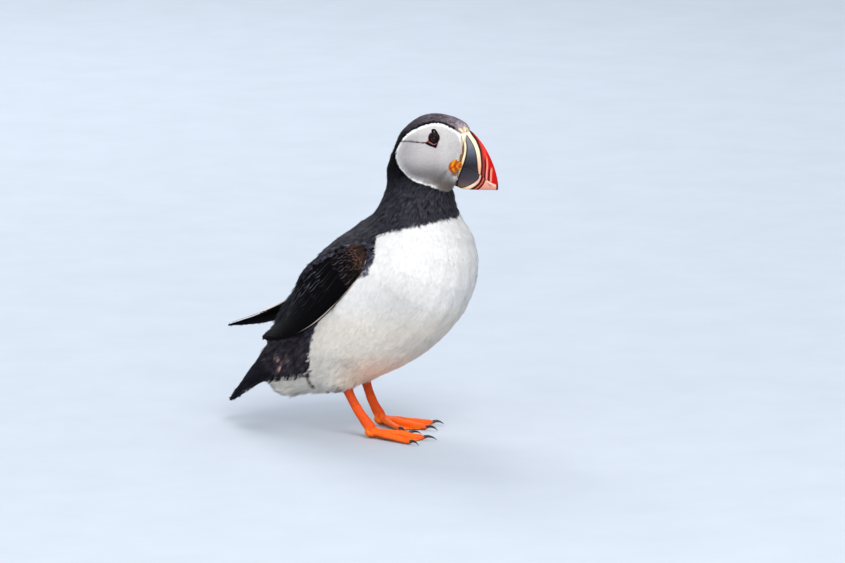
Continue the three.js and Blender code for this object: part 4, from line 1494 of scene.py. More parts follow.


@dataclass
class FoldedWing:
    """One folded wing: a lens-shaped blade under rows of flight feathers and coverts."""

    anatomy: Anatomy
    word: str
    side: int
    places: Lines
    girths: Lines
    rows: tuple[FeatherRow, ...]
    # Each pale edge line: its place across, the ends of its run, half its width.
    rims: tuple[tuple[float, float, float, float], ...]
    shrink: float = 0.8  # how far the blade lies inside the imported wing, leaving room for the feathers

    def __post_init__(self) -> None:
        """Makes the blade's curves."""
        self.centre = Curve(self.places)
        self.girth = Curve(self.girths)

    def surface(self, t: Array, lead: Array, lift: Array, face: int = 1) -> tuple[Array, Array]:
        """Places on the blade.

        Args:
            t: share of the run from wrist to tip.
            lead: place across, 1 at the leading edge.
            lift: height over the blade.
            face: 1 for its outer face, -1 for the one by the body.

        Returns:
            Places and directions out, on the body's axes.
        """
        mirror = np.array([1, self.side, 1])
        centre = self.centre.at(t) * mirror
        run = unit((self.centre.at(t + 0.02) - self.centre.at(t - 0.02)) * mirror)
        breadth, thick, roll = self.girth.at(t).T
        breadth = np.maximum(breadth - self.shrink, 0.4)
        thick = np.maximum(thick - 0.35 * self.shrink, 0.3)
        out = np.stack([np.zeros(len(roll)), self.side * np.cos(roll), np.sin(roll)], 1)
        across = unit(np.cross(run, out))
        outward = np.cross(across, run) * face
        c = self.side * np.clip(lead, -1, 1)
        bulge = np.sqrt(np.maximum(1 - c**2, 0))
        place = centre + across * (c * breadth)[:, None] + outward * (bulge * thick)[:, None]
        slope = np.clip(c, -0.95, 0.95) / breadth
        normal = unit(across * slope[:, None] + outward * (np.maximum(bulge, 0.3) / thick)[:, None])
        return place + normal * np.asarray(lift)[:, None], normal

    def build(self) -> None:
        """Builds the blade, then its feathers from the tips to the wrist with the pale edges over them."""
        points, faces = lens(self.surface, np.linspace(0.02, 1, 70), 24, 0.1)
        finish = FLIGHT_PLUMAGE.material()
        placed = self.anatomy.body.place(points)
        closed_piece(f"wing_blade_{self.word}", placed, faces, PALETTE.wing, finish, "black_feather")
        rng = np.random.default_rng(SEED + 10 + self.side)
        heap = Heap()
        for row in self.rows:
            for number in range(row.count):
                self.feather(heap, row, number / max(row.count - 1, 1), rng)
        for line in self.rims:
            self.rim(heap, *line)
        heap.build(f"wing_feathers_{self.word}", finish, "black_feather")

    def feather(self, heap: Heap, row: FeatherRow, share: float, rng: np.random.Generator) -> None:
        """One feather of a row, share of the way from its leading to its trailing end."""
        start = row.root[0] + (row.root[1] - row.root[0]) * share + rng.normal(0, 0.004)
        end = row.tip[0] + (row.tip[1] - row.tip[0]) * share + rng.normal(0, 0.006)
        lead = row.lead[0] + (row.lead[1] - row.lead[0]) * share + rng.normal(0, 0.012)
        over = 0.16 * share + rng.normal(0, 0.03)

        def lay(s: Array, reach: Array, rise: Array) -> tuple[Array, Array]:
            t = start + (end - start) * s
            breadth = np.maximum(self.girth.at(t)[:, 0] - self.shrink, 2.0)
            lift = row.lift[0] + (row.lift[1] - row.lift[0]) * s + over + rise
            return self.surface(t, lead - row.drift * s + reach / breadth, lift)

        ends = self.centre.at([start, end])
        brown = min(row.wrist * (1.1 - 0.5 * abs(share - 0.3)) * rng.uniform(0.4, 1.2), 1.0)
        # pale: how strong the painted highlight on its margins is
        pale = max(row.pale[0] + (row.pale[1] - row.pale[0]) * share, 0.0) * rng.uniform(0.3, 1.2)
        base = mix(PALETTE.wing, PALETTE.wrist * 0.5, brown)
        edge = mix(PALETTE.wing_highlight, PALETTE.wrist_highlight, min(1.6 * brown, 1.0))
        edge = base + (edge - base) * pale
        length = max(float(np.linalg.norm(ends[1] - ends[0])), 4.0)
        base = base * rng.uniform(0.8, 1.2)
        points, faces, colour, facing = vane_mesh(lay, length, row.vane, base, edge, rng)
        body = self.anatomy.body
        maps = patch_map((0.05 + 0.9 * start, 0.5 + 0.42 * lead / 1.2))
        heap.add(body.place(points), faces, colour, body.turn(facing), maps)

    def rim(self, heap: Heap, lead: float, start: float, end: float, half: float) -> None:
        """A thin pale line along an edge, fading at its ends."""
        count, around = 70, 6
        t = np.linspace(start, end, count)
        seat, normal = self.surface(t, np.full(count, lead), np.full(count, 1.0))
        run = unit(np.gradient(seat, axis=0))
        over = np.cross(run, normal)
        angle = circle(around)
        out = normal[:, None] * np.cos(angle)[None, :, None] + over[:, None] * np.sin(angle)[None, :, None]
        size = 0.08 + half * hump(t, (start + end) / 2, (end - start) * 0.6) * (0.8 + 0.2 * np.sin(t * 90))
        rings = seat[:, None] + out * size[:, None, None]
        fade = ease(t, start, start + 0.03) * (1 - ease(t, end - 0.08, end)) * (0.8 + 0.2 * np.sin(t * 34))
        colour = mix(PALETTE.wing, PALETTE.wing_rim, fade)[:, None].repeat(around, 1)
        lane = 0.97 + 0.004 * np.arange(around)[None].repeat(count, 0)
        maps = np.stack([0.05 + 0.9 * t[:, None].repeat(around, 1), lane], -1)
        body = self.anatomy.body
        heap.add(
            body.place(rings.reshape(-1, 3)),
            [grid_faces(count, around, wrap=True)],
            colour.reshape(-1, 3),
            body.turn(out.reshape(-1, 3)),
            maps.reshape(-1, 2),
        )


def wing_rows() -> tuple[FeatherRow, ...]:
    """The rows of one wing, from the primaries under all the rest to the wrist's own over them."""
    rows = [
        FeatherRow(
            9, (0.5, 0.42), (0.995, 0.86), (0.75, -0.1), 0.1, Vane(3.2, 0.8, 0.5, 0.01, 0.4, 0.8, 1.6),
            (0.1, 0.35), pale=(0.3, 0.6),
        ),  # primaries
        FeatherRow(
            11, (0.42, 0.34), (0.66, 0.82), (0.92, -0.85), 0.16, Vane(5.6, 0.74, 0.6, 0.015, 0.5),
            (0.25, 0.5), pale=(-0.3, 0.4),
        ),  # secondaries
        FeatherRow(
            6, (0.34, 0.3), (0.74, 0.66), (-0.3, -1.0), 0.02, Vane(4.6, 0.66, 0.8, 0.02, 0.8),
            (0.4, 0.75), pale=(0.3, 0.8),
        ),  # tertials
        FeatherRow(
            10, (0.56, 0.5), (0.74, 0.68), (0.8, -0.8), 0.05, Vane(2.4, 0.6, 0.8, 0.02, 0.8),
            (0.3, 0.7), pale=(0.2, 0.9),
        ),  # primary coverts
    ]
    for step in range(5):  # the other coverts, from the longest up
        root = 0.43 - 0.062 * step
        rows.append(FeatherRow(
            15, (root, root - 0.02), (root + 0.15, root + 0.17), (0.94, -0.8), -0.34,
            Vane(2.3, 0.7, 0.75, 0.03, 0.9), (0.4, 0.85 + 0.04 * step), pale=(-0.7, 1.1),
        ))
    for step in range(6):  # the small feathers up to the wrist, browner as they go
        root = 0.155 - 0.03 * step
        rows.append(FeatherRow(
            13, (root, root - 0.01), (root + 0.1, root + 0.09), (0.94, -0.76), -0.12,
            Vane(2.0, 0.6, 0.85, 0.03, 0.9), (0.4, 1.0), max(0.06, 0.26 * step - 0.5), (0.3, 0.8),
        ))
    return tuple(rows)


@dataclass
class Tail:
    """The tail: a fan of short feathers under long coverts."""

    anatomy: Anatomy
    places: Lines = (
        (-74, 53, 16), (-94, 43.5, 18.5), (-107.3, 34.6, 19.5), (-116, 25.8, 17), (-123.6, 18.6, 11.5),
        (-128.4, 14.6, 4.5),
    )  # forward, up and half its width
    thick: Lines = ((14,), (11.5,), (6.2,), (3.1,), (1.6,), (0.8,))  # half its thickness, along its run
    feathers: int = 14  # the tail's own
    coverts: tuple[int, ...] = (11, 11, 10, 9, 8)  # how many in each row, from the longest up
    shrink: float = 0.7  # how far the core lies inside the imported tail

    def surface(self, t: Array, x: Array, lift: Array, face: int = 1) -> tuple[Array, Array]:
        """Places on the tail's upper (face 1) or lower (face -1) side, x from -1 to 1 across it."""
        f, z, side = Curve(self.places).at(t).T
        side = np.maximum(side - self.shrink, 0.5)
        thick = np.maximum(Curve(self.thick, even=True).at(t)[:, 0] - self.shrink, 0.3)
        slope = unit(np.array([-54.4, 0, -38.4]))
        out = np.array([slope[2], 0, -slope[0]]) * face
        x = np.clip(x, -1, 1)
        bulge = np.sqrt(np.maximum(1 - x**2, 0))
        place = np.stack([f, x * side, z], 1) + out * (bulge * thick)[:, None]
        wing = np.array([0.0, 1.0, 0.0]) * (x / side)[:, None]
        normal = unit(wing + out * (np.maximum(bulge, 0.3) / thick)[:, None])
        return place + normal * np.asarray(lift)[:, None], normal

    def build(self) -> None:
        """Builds the core, then the tail feathers and the coverts over them."""
        points, faces = lens(self.surface, np.linspace(0.05, 1, 50), 24, 0.05)
        finish = FLIGHT_PLUMAGE.material()
        placed = self.anatomy.body.place(points)
        closed_piece("tail_core", placed, faces, PALETTE.tail, finish, "black_feather")
        rng = np.random.default_rng(SEED + 20)
        heap = Heap()
        vane = Vane(4.4, 0.75, 1.0, 0.01, 0.8, 0.8)
        for number in range(self.feathers):
            x = -0.92 + 1.84 * number / (self.feathers - 1)
            tip = 0.99 - 0.08 * abs(x) ** 1.5
            self.feather(heap, (0.36, tip), (x * 0.7, x * 0.96), (0.1, 0.3), vane, rng)
        for step, count in enumerate(self.coverts):
            root = 0.42 - 0.09 * step
            vane = Vane(4.2 - 0.2 * step, 0.6, 1.0, 0.03, 0.7)
            for number in range(count):
                x = -0.95 + 1.9 * (number + 0.5 * (step % 2)) / count
                self.feather(heap, (root, root + 0.3), (x, x * 0.95), (0.2, 0.6), vane, rng)
        heap.build("tail_feathers", finish, "black_feather")

    def feather(
        self,
        heap: Heap,
        run: Pair,
        across: Pair,
        lift: Pair,
        vane: Vane,
        rng: np.random.Generator,
    ) -> None:
        """One feather between two shares of the tail's run and two places across it."""
        start = run[0] + rng.normal(0, 0.006)
        x0 = across[0] + rng.normal(0, 0.01)

        def lay(s: Array, reach: Array, rise: Array) -> tuple[Array, Array]:
            t = start + (run[1] - start) * s
            wide = np.maximum(Curve(self.places).at(t)[:, 2] - self.shrink, 3.0)
            x = x0 + (across[1] - x0) * s + reach / wide
            return self.surface(t, x, lift[0] + (lift[1] - lift[0]) * s + rise)

        base = PALETTE.tail * rng.uniform(0.8, 1.25)
        edge = PALETTE.tail_highlight * rng.uniform(0.7, 1.2)
        points, faces, colour, facing = vane_mesh(lay, 70 * (run[1] - start), vane, base, edge, rng)
        body = self.anatomy.body
        maps = patch_map((0.1 + 0.8 * start, 0.5 + 0.4 * x0))
        heap.add(body.place(points), faces, colour, body.turn(facing), maps)


# ------------------------------------------------------------------------------- bill


@dataclass
class Bill:
    """Both halves of the bill, with the cere at its base and its ridges and grooves."""

    anatomy: Anatomy
    culmen: Lines = (
        (17, 15.4), (29, 13.9), (37.2, 5.9), (43, -3.6), (47, -13.4), (49.2, -22.5), (49.5, -27.6),
    )
    gonys: Lines = (
        (13.5, -23), (20.5, -25.8), (25, -27.6), (33, -28.2), (41, -28.3), (46.5, -28.4), (48.6, -28.5),
    )
    tomium: Lines = (
        (8, -10.6), (22.4, -11.4), (30.8, -12.9), (36, -16.4), (41, -20.4), (46, -23.4), (53, -25.6),
    )
    base_half: float = 8.2  # half its width at its base
    tip_half: float = 1.5
    culmen_taper: float = 0.42  # how far it narrows towards its upper ridge
    fullness: float = 2.3  # 2 makes its section an ellipse, more makes it squarer
    rings: int = 230
    around: int = 96
    gap: float = 0.12  # between the halves
    blend: float = 0.12  # half the width over which two of its colours meet
    ridge_rise: float = 0.3  # how far the ridge stands out from the plates,
    cere_rise: float = 0.4  # and the cere from the bill
    groove: Array = tone(46, 1, 1)
    slate_rim: Array = tone(24, 20, 24)
    cere_line: Array = tone(110, 74, 40)  # the brown line along the cere's back
    seam: Array = tone(10, 7, 8)  # the dark line along its front
    # Pairs of colours, each going down from the first to the second.
    ceres: tuple[Array, Array] = (srgb(220, 208, 174), srgb(214, 184, 138))
    creams: tuple[Array, Array] = (srgb(240, 216, 186), srgb(212, 156, 126))
    low_creams: tuple[Array, Array] = (srgb(206, 160, 144), srgb(236, 208, 172))

    cere_back: Lines = (
        (21.7, 14.8), (23.1, 10.8), (23.7, 7.3), (24.5, 3.7), (24.5, -0.5), (23.2, -5.5), (21.8, -10.5),
        (20.6, -15.5), (19.8, -19.8), (19.2, -24), (19, -28),
    )
    cere_front: Lines = (
        (27, 13), (26.9, 10.8), (26.6, 7.3), (27.2, 3.7), (27.1, -0.5), (26.2, -5.5), (24.6, -10.5),
        (22.6, -15.5), (21.1, -19.8), (20.4, -22.6), (20.1, -28),
    )
    slate_front: Lines = (
        (26.6, 12), (28.4, 10.4), (30.5, 7.3), (32.5, 3.7), (33.9, -0.5), (34.8, -5.5), (35.3, -10.5),
        (35.7, -15.5), (36, -20),
    )
    ridge: Lines = (
        (28.8, 14.6), (31, 10.8), (33.5, 7.3), (35.1, 3.7), (36.5, -0.5), (37.2, -5.5), (37.5, -10.5),
        (37.1, -15.5), (36.9, -20),
    )
    low_slate: Lines = ((36.3, -18), (35.7, -19.8), (32.7, -22.6), (27.4, -25.4), (24, -26.2), (20, -26.4))
    low_ridge: Lines = (
        (37.4, -18.4), (37.1, -19.8), (35.6, -22.6), (32.3, -25.4), (28.5, -27.6), (25, -29.5),
    )
    slates: Sequence[tuple[float, Array]] = (
        (-10, srgb(122, 124, 126)), (-3.7, srgb(106, 108, 116)), (0.5, srgb(84, 88, 98)),
        (5.5, srgb(50, 54, 64)), (10.5, srgb(28, 28, 35)), (15.5, srgb(46, 44, 50)),
        (19.8, srgb(58, 52, 60)), (22.6, srgb(80, 70, 72)), (25.4, srgb(118, 90, 66)),
    )  # the plates' colours, down from the head's centre

    def __post_init__(self) -> None:
        """Makes the profile's curves and the lines of the markings."""
        self.top = Curve(self.culmen, even=True)
        self.foot = Curve(self.gonys, even=True)
        self.mouth = Curve(self.tomium, even=True).at(np.linspace(0, 1, 80))
        self.lines = {
            name: Outline(getattr(self, name), closed=False, smooth=6)
            for name in ("cere_back", "cere_front", "ridge", "slate_front", "low_slate", "low_ridge")
        }

    def mouth_share(self, top: Array, foot: Array) -> Array:
        """How far up from foot to top each ring meets the mouth line."""
        share = np.linspace(-0.1, 1.1, 481)
        line = foot[:, None] + (top - foot)[:, None] * share[None, :, None]
        height = np.interp(line[..., 0], self.mouth[:, 0], self.mouth[:, 1])
        above = line[..., 1] > height
        return share[np.argmax(above, axis=1)] + np.where(above.any(1), 0, 2)

    def rings_of(self, upper: bool) -> Array:
        """The rings of one half in the head's axes, each from its mouth edge over to the other."""
        t = np.linspace(0, 1, 1201)
        top, foot = self.top.at(t), self.foot.at(t)
        meet = self.mouth_share(top, foot)
        end = t[np.argmax(meet >= 0.995)] if (meet >= 0.995).any() else 1.0
        t = np.linspace(0, end if upper else 1.0, self.rings)
        top, foot = self.top.at(t), self.foot.at(t)
        meet = np.clip(self.mouth_share(top, foot), 0, 1)
        tall = np.linalg.norm(top - foot, axis=1)
        gap = self.gap / 2 / tall
        low = np.minimum(meet + gap, 1.0) if upper else np.zeros(len(t))
        high = np.ones(len(t)) if upper else np.maximum(meet - gap, 0.0)
        half_turn = np.linspace(0, math.pi / 2, self.around // 2)
        rounding = np.sin(half_turn) if upper else 1 - np.cos(half_turn)
        level = low[:, None] + (high - low)[:, None] * rounding[None]
        s = np.clip(2 * level - 1, -1, 1)
        wide = (1 - np.abs(s) ** self.fullness) ** (1 / self.fullness)
        wide = wide * (1 - self.culmen_taper * np.maximum(s, 0))
        half = (self.base_half + (self.tip_half - self.base_half) * t)[:, None] * wide
        plane = foot[:, None] + (top - foot)[:, None] * level[..., None]
        right = np.stack([plane[..., 0], -half, plane[..., 1]], -1)
        left = np.stack([plane[..., 0], half, plane[..., 1]], -1)
        if upper:
            return np.concatenate([right, left[:, ::-1][:, 1:]], 1)
        return np.concatenate([left[:, ::-1], right[:, 1:]], 1)[:, ::-1]

    def beyond(self, name: str, plane: Array) -> Array:
        """How far past a line each place lies, towards the bill's tip, negative behind it."""
        found = self.lines[name].nearest(plane)
        return found.distance * found.side

    def relief(self, plane: Array, upper: bool) -> tuple[Array, Array]:
        """Height and colour of each place on the bill's side.

        Args:
            plane: places in the head's side view.
            upper: whether they are on the upper half.

        Returns:
            Heights in millimetres and colours.
        """
        down = -plane[:, 1]
        scratch = np.sin(plane[:, 0] * 5.1 + plane[:, 1] * 2.2) * np.sin(plane[:, 1] * 7.3)
        slate = steps(down, self.slates) * (1 + 0.08 * scratch)[:, None]
        rim = self.beyond("slate_front" if upper else "low_slate", plane)
        slate = mix(slate, self.slate_rim, 0.75 * (1 - ease(-rim, 0.2, 1.1)))
        if upper:
            height, front = self.upper_stripes(plane)
            cream = mix(*self.creams, ease(down, -6, 16))
        else:
            height, front = self.lower_stripes(plane)
            cream = mix(*self.low_creams, ease(down, 20, 26))
        past = self.beyond("ridge" if upper else "low_ridge", plane)
        colour = mix(cream, front, ease(past, -self.blend, self.blend))
        colour = mix(slate, colour, ease(rim, -0.2, 0.2))
        height += self.ridge_rise * hump(past, -0.8, 1.3)
        behind = -self.beyond("cere_front", plane)
        inside = self.beyond("cere_back", plane)
        skin = mix(*self.ceres, ease(down, 2, 14))
        line = 1.1 + 0.9 * ease(-down, 4, 9)
        skin = mix(skin, self.cere_line, 1 - ease(inside, line, line + 0.45))
        colour = mix(colour, skin, ease(behind, -self.blend, self.blend))
        line = 1 - ease(np.abs(behind + 0.5), 0.3, 0.75)
        line = line * ramp(down, ((-11, 0), (-7, 0.6), (0, 0.75), (6, 1), (30, 1)))
        colour = mix(colour, self.seam, line)
        height += self.cere_rise * ease(behind, -0.1, 0.8)
        return height, colour

    def upper_stripes(self, plane: Array) -> tuple[Array, Array]:
        """The upper half's grooves and stripes, in front of its cream ridge; its pink stripes on the ridges
        are painted highlights.

        Each stop holds how far it is past the ridge, and the colour or the height there.
        """
        past = self.beyond("ridge", plane)
        down = -plane[:, 1]
        dark, flame, bright = self.groove, srgb(204, 50, 36), srgb(176, 14, 4)
        # pink: a painted highlight on the ridges between the grooves
        dull, pink = srgb(140, 40, 40), srgb(226, 130, 112)
        stops = ((0, dark), (1.1, dark), (1.6, dull), (2.4, flame), (4.2, flame), (5, bright), (40, bright))
        high = steps(past, stops)
        stops = (
            (0, dark), (1.1, dark), (1.5, dull), (2.5, dull), (2.8, dark), (3.5, dark), (4, pink),
            (4.5, pink), (5.1, bright), (40, bright),
        )
        low = steps(past, stops)
        stops = (
            (4.6, pink), (5.2, dull), (5.9, dark), (6.5, dark * 2), (7, pink), (7.5, pink), (8.4, bright),
        )
        low = mix(low, steps(past, stops), ease(down, 11, 14) * (past > 5))
        stops = (
            (-0.2, 0), (0.45, -0.34), (1.2, -0.06), (1.9, 0.1), (2.4, -0.05), (2.9, -0.32), (3.6, 0.0),
            (4.2, 0.1), (5.4, 0), (9, 0),
        )
        height = ramp(past, stops)
        height += ease(down, 11, 14) * ramp(past, ((5, 0), (6.1, -0.28), (7.2, 0.06), (9, 0)))
        return height, mix(high, low, ease(down, 2.5, 8))

    def lower_stripes(self, plane: Array) -> tuple[Array, Array]:
        """The lower half's grooves and stripes, parallel to its own ridge, with stops like the upper's."""
        past = self.beyond("low_ridge", plane)
        dark, orange, pale = self.groove, srgb(190, 78, 60), srgb(214, 146, 128)
        stops = (
            (0, dark), (1.3, dark), (1.6, orange), (2.4, orange), (2.7, dark), (3.4, dark), (3.8, pale),
            (40, pale),
        )
        out = steps(past, stops)
        level = plane[:, 1] + 21.9 + 0.6 * (plane[:, 0] - 42.4)
        front = ease(past, 4.2, 5)
        out = mix(out, srgb(240, 208, 194), 0.8 * front * hump(level, 0, 0.7))
        out = mix(out, srgb(128, 96, 78), 0.7 * front * hump(level, -1.6, 1.3) * hump(plane[:, 0], 43.6, 2.6))
        out = mix(out, srgb(92, 24, 10), ease(plane[:, 0], 47.4, 48.4))
        stops = ((0, 0), (0.6, -0.28), (1.5, 0.04), (2.2, 0.04), (2.8, -0.26), (3.6, 0), (9, 0))
        return ramp(past, stops), out

    def half(self, upper: bool) -> None:
        """Builds one half."""
        points, faces = loft(self.rings_of(upper))
        head = self.anatomy.head
        height, colour = self.relief(self.anatomy.profile(head.place(points)), upper)
        side = np.sign(points[:, 1]) * ease(np.abs(points[:, 1]), 0.2, 1.2)
        points[:, 1] += side * height
        name, slot = ("bill_upper", "bill_horn") if upper else ("bill_lower", "bill_slate")
        closed_piece(name, head.place(points), faces, colour, BILL_HORN.material(), slot, [name])

    def build(self) -> None:
        """Builds both halves."""
        self.half(True)
        self.half(False)


# ------------------------------------------------------------------------------- eyes and rosettes


@dataclass
class EyeSurround:
    """An eye: the ball with its pupil, its dark ring, and the horny plates over and under it."""

    anatomy: Anatomy
    word: str
    side: int
    ball: float = 4.4  # its radius, as the next two are
    pupil: float = 1.5
    iris: float = 2.25
    ring: Pair = (2.15, 2.75)  # the dark ring's radii
    middle: Pair = (4.65, 8.35)  # the eye's opening, in the head's side view
    step: float = 0.15  # between the shell's points

    patch_line: Lines = (
        (3.2, 14.8), (4.4, 15.3), (5.7, 14.9), (7.1, 12.8), (7.7, 11), (7.9, 8.6), (7.5, 6.4), (6.9, 3.6),
        (6, 2), (4.5, 2.6), (3, 3), (1.5, 3.6), (-0.9, 4.9), (-1.6, 5.8), (0.4, 6.5), (1.3, 7.6), (1.9, 9.2),
        (3, 11),
    )
    fold_line: Lines = ((-0.6, 5.7), (0.9, 6.4), (2.1, 5.8), (3.4, 5), (4.7, 4.5), (6, 4.9), (6.9, 5.9))
    plate_highlight_line: Lines = ((4.9, 13.9), (5.2, 12.4), (5.3, 10.9))
    pinks: Sequence[tuple[float, Array]] = (
        (0, srgb(50, 14, 12)), (0.16, srgb(112, 58, 50)), (0.3, srgb(158, 98, 86)), (0.5, srgb(128, 82, 92)),
        (0.75, srgb(116, 84, 100)), (1, srgb(56, 30, 38)),
    )  # the fold's colours along its run

    def eyeball(self) -> None:
        """The ball, its pupil and iris painted about its outward axis."""
        points, faces = loft(globe(48, 48, self.side) * self.ball)
        radius = np.hypot(points[:, 0], points[:, 2])
        glow = ease(-points[:, 0] - points[:, 2], 0.6, 2.6)
        iris = mix(srgb(26, 14, 15), srgb(88, 30, 20), glow)
        colour = mix(srgb(5, 5, 6), iris, ease(radius, self.pupil - 0.1, self.pupil + 0.25))
        colour = mix(colour, srgb(22, 12, 12), ease(radius, self.iris - 0.3, self.iris + 0.1))
        anatomy = self.anatomy
        middle = np.array([anatomy.EYE_FORWARD, self.side * anatomy.EYE_SIDE, anatomy.EYE_UP])
        placed = anatomy.head.place(points + middle)
        name, finish = f"eyeball_{self.word}", EYE_GLOSS.material()
        closed_piece(name, placed, faces, colour, finish, "eye_gloss", [f"eye_{self.word}"])

    def surround(self, flesh: Flesh) -> None:
        """The ring, the plates and the pink fold, as a thin shell over the face."""
        u, w = np.meshgrid(np.arange(-3.2, 9.2, self.step), np.arange(2.8, 18.4, self.step), indexing="ij")
        plane = np.stack([u.ravel(), w.ravel()], 1)
        cheek = self.cheek(plane, flesh)
        seen = np.stack([plane[:, 0], self.anatomy.lowered(plane[:, 1], cheek)], 1)
        radius = np.hypot(seen[:, 0] - self.middle[0], seen[:, 1] - self.middle[1])
        patch = Outline(self.patch_line, smooth=3).depth(seen)
        fold = Outline(self.fold_line, closed=False, smooth=5).nearest(seen)
        streak = Outline(self.plate_highlight_line, closed=False).nearest(seen).distance
        torus = np.clip((radius - self.ring[0]) / (self.ring[1] - self.ring[0]), 0, 1)
        rise = 0.5 * ease(patch, -0.1, 0.6)
        bead = 0.8 * np.sqrt(np.clip(1 - (2 * torus - 0.9) ** 2, 0, 1))
        rise = np.maximum(rise, bead * (radius < self.ring[1] + 0.05))
        rise = rise + 0.35 * (1 - ease(fold.distance, 0.15, 0.6))
        rise = rise - 0.35 * hump(fold.distance * fold.side, -0.85, 0.4)
        depth = np.maximum(patch, self.ring[1] - radius)
        surface = cheek + rise - 0.9 * (1 - ease(depth, -0.3, 0.25))
        off = (plane[:, 0] - self.anatomy.EYE_FORWARD) ** 2 + (plane[:, 1] - self.anatomy.EYE_UP) ** 2
        ball = np.sqrt(np.maximum(self.ball**2 - off, 0)) + self.anatomy.EYE_SIDE
        lid = ball + 0.06 + 0.3 * np.sqrt(np.clip(1 - (2 * torus - 0.8) ** 2, 0, 1))
        surface = np.maximum(surface, np.where(radius < self.ring[1], lid, 0))
        keep = (depth > -0.25) & (radius > self.ring[0] - 0.05)
        # a lilac line down the upper plate: a painted highlight
        colour = mix(srgb(12, 6, 10), srgb(112, 90, 104), 0.9 * (1 - ease(streak, 0.15, 0.5)))
        pink = steps(fold.share, self.pinks)
        colour = mix(colour, srgb(16, 5, 6), 1 - ease(radius, self.ring[1] - 0.1, self.ring[1] + 0.3))
        colour = mix(colour, pink, 1 - ease(fold.distance, 0.2, 0.5))
        faces = grid_faces(*u.shape)
        faces = faces[keep[faces].all(1)]
        used, faces = np.unique(faces, return_inverse=True)
        faces = faces.reshape(-1, 4)[:, ::self.side]
        points = np.stack([plane[used, 0], self.side * surface[used], plane[used, 1]], 1)
        heap = Heap()
        heap.add(self.anatomy.head.place(points), [faces], colour[used])
        heap.build(f"eye_surround_{self.word}", ORBIT_SKIN.material(), "bill_slate")

    def cheek(self, plane: Array, flesh: Flesh) -> Array:
        """How far out from the head's middle the coat's outside lies at each place."""
        head = self.anatomy.head
        outside = self.side * 40.0
        missed = 20.0
        start = head.place(np.stack([plane[:, 0], np.full(len(plane), outside), plane[:, 1]], 1))
        way = Vector(head.turn(np.array([0.0, -self.side, 0.0])))
        hits = [flesh.envelope.ray_cast(Vector(place), way)[0] for place in start.tolist()]
        return np.array([missed if hit is None else abs(head.measure(np.array(hit))[1]) for hit in hits])

    def build(self, flesh: Flesh) -> None:
        """Builds both pieces."""
        self.eyeball()
        self.surround(flesh)


@dataclass
class Rosette:
    """The fleshy folds at a corner of the mouth."""

    anatomy: Anatomy
    word: str
    side: int
    middle: Spot = (18.7, 10.9, -9.6)
    size: Spot = (5.7, 3.0, 4.8)
    turn: float = 0.5  # in radians, about an upright axis
    folds: float = 3.2  # from one fold to the next
    marks: tuple[Lines, ...] = (
        ((15.9, -12.4), (18.6, -10.6)), ((19.9, -9.6), (21.9, -8.0)), ((20, -13), (21.4, -11.8)),
    )  # the splits between its folds, in the head's side view

    def build(self) -> None:
        """A cushion with folds that circle the corner of the mouth."""
        rings, faces = loft(globe(56, 72))
        local = rings * np.array(self.size)
        point = np.maximum(local[:, 0], 0) / self.size[0]
        local[:, 2] *= 1 - 0.45 * point**2
        local[:, 0] *= 1 + 0.12 * point
        reach = np.hypot(rings[:, 0] * 0.9 - 0.75, rings[:, 2]) * self.size[0]
        wave = np.sin(reach * 2 * math.pi / self.folds + 1.1)
        face = np.clip(rings[:, 1], 0, 1)
        seen = np.stack([local[:, 0] * 0.92 + self.middle[0] + 0.6, local[:, 2] + self.middle[2] - 1.2], 1)
        mark = np.min([Outline(line, closed=False).nearest(seen).distance for line in self.marks], axis=0)
        split = 1 - ease(mark, 0.25, 0.75)
        local = local + rings * ((0.3 * wave - 0.7 * split) * face)[:, None]
        colour = mix(srgb(156, 68, 2), srgb(206, 120, 6), ease(wave, -0.5, 0.8))
        colour = mix(colour, srgb(110, 30, 2), 0.6 * split)
        cos, sin = math.cos(self.turn), math.sin(self.turn)
        u = local[:, 0] * cos + local[:, 1] * sin
        v = local[:, 1] * cos - local[:, 0] * sin
        forward, out, up = self.middle
        local = np.stack([u + forward, self.side * (v + out), local[:, 2] + up], 1)
        placed = self.anatomy.head.place(local)
        name, finish = f"rosette_{self.word}", ROSETTE_SKIN.material()
        closed_piece(name, placed, faces, colour, finish, "rosette_skin", [f"gape_{self.word}"])


# ------------------------------------------------------------------------------- legs and feet


@dataclass(frozen=True)
class Toe:
    """One toe and its claw."""

    name: str
    length: float
    spread: float  # degrees out from the foot's line
    root: float  # half its thickness where it starts
    end: float  # and at its end
    claw: float  # the claw's length


TOES = (
    Toe("inner", 28, 31, 2.8, 1.9, 7.6),
    Toe("middle", 38, 0, 3.2, 2.1, 7.8),
    Toe("outer", 37, -30, 3.0, 2.0, 6.6),
)


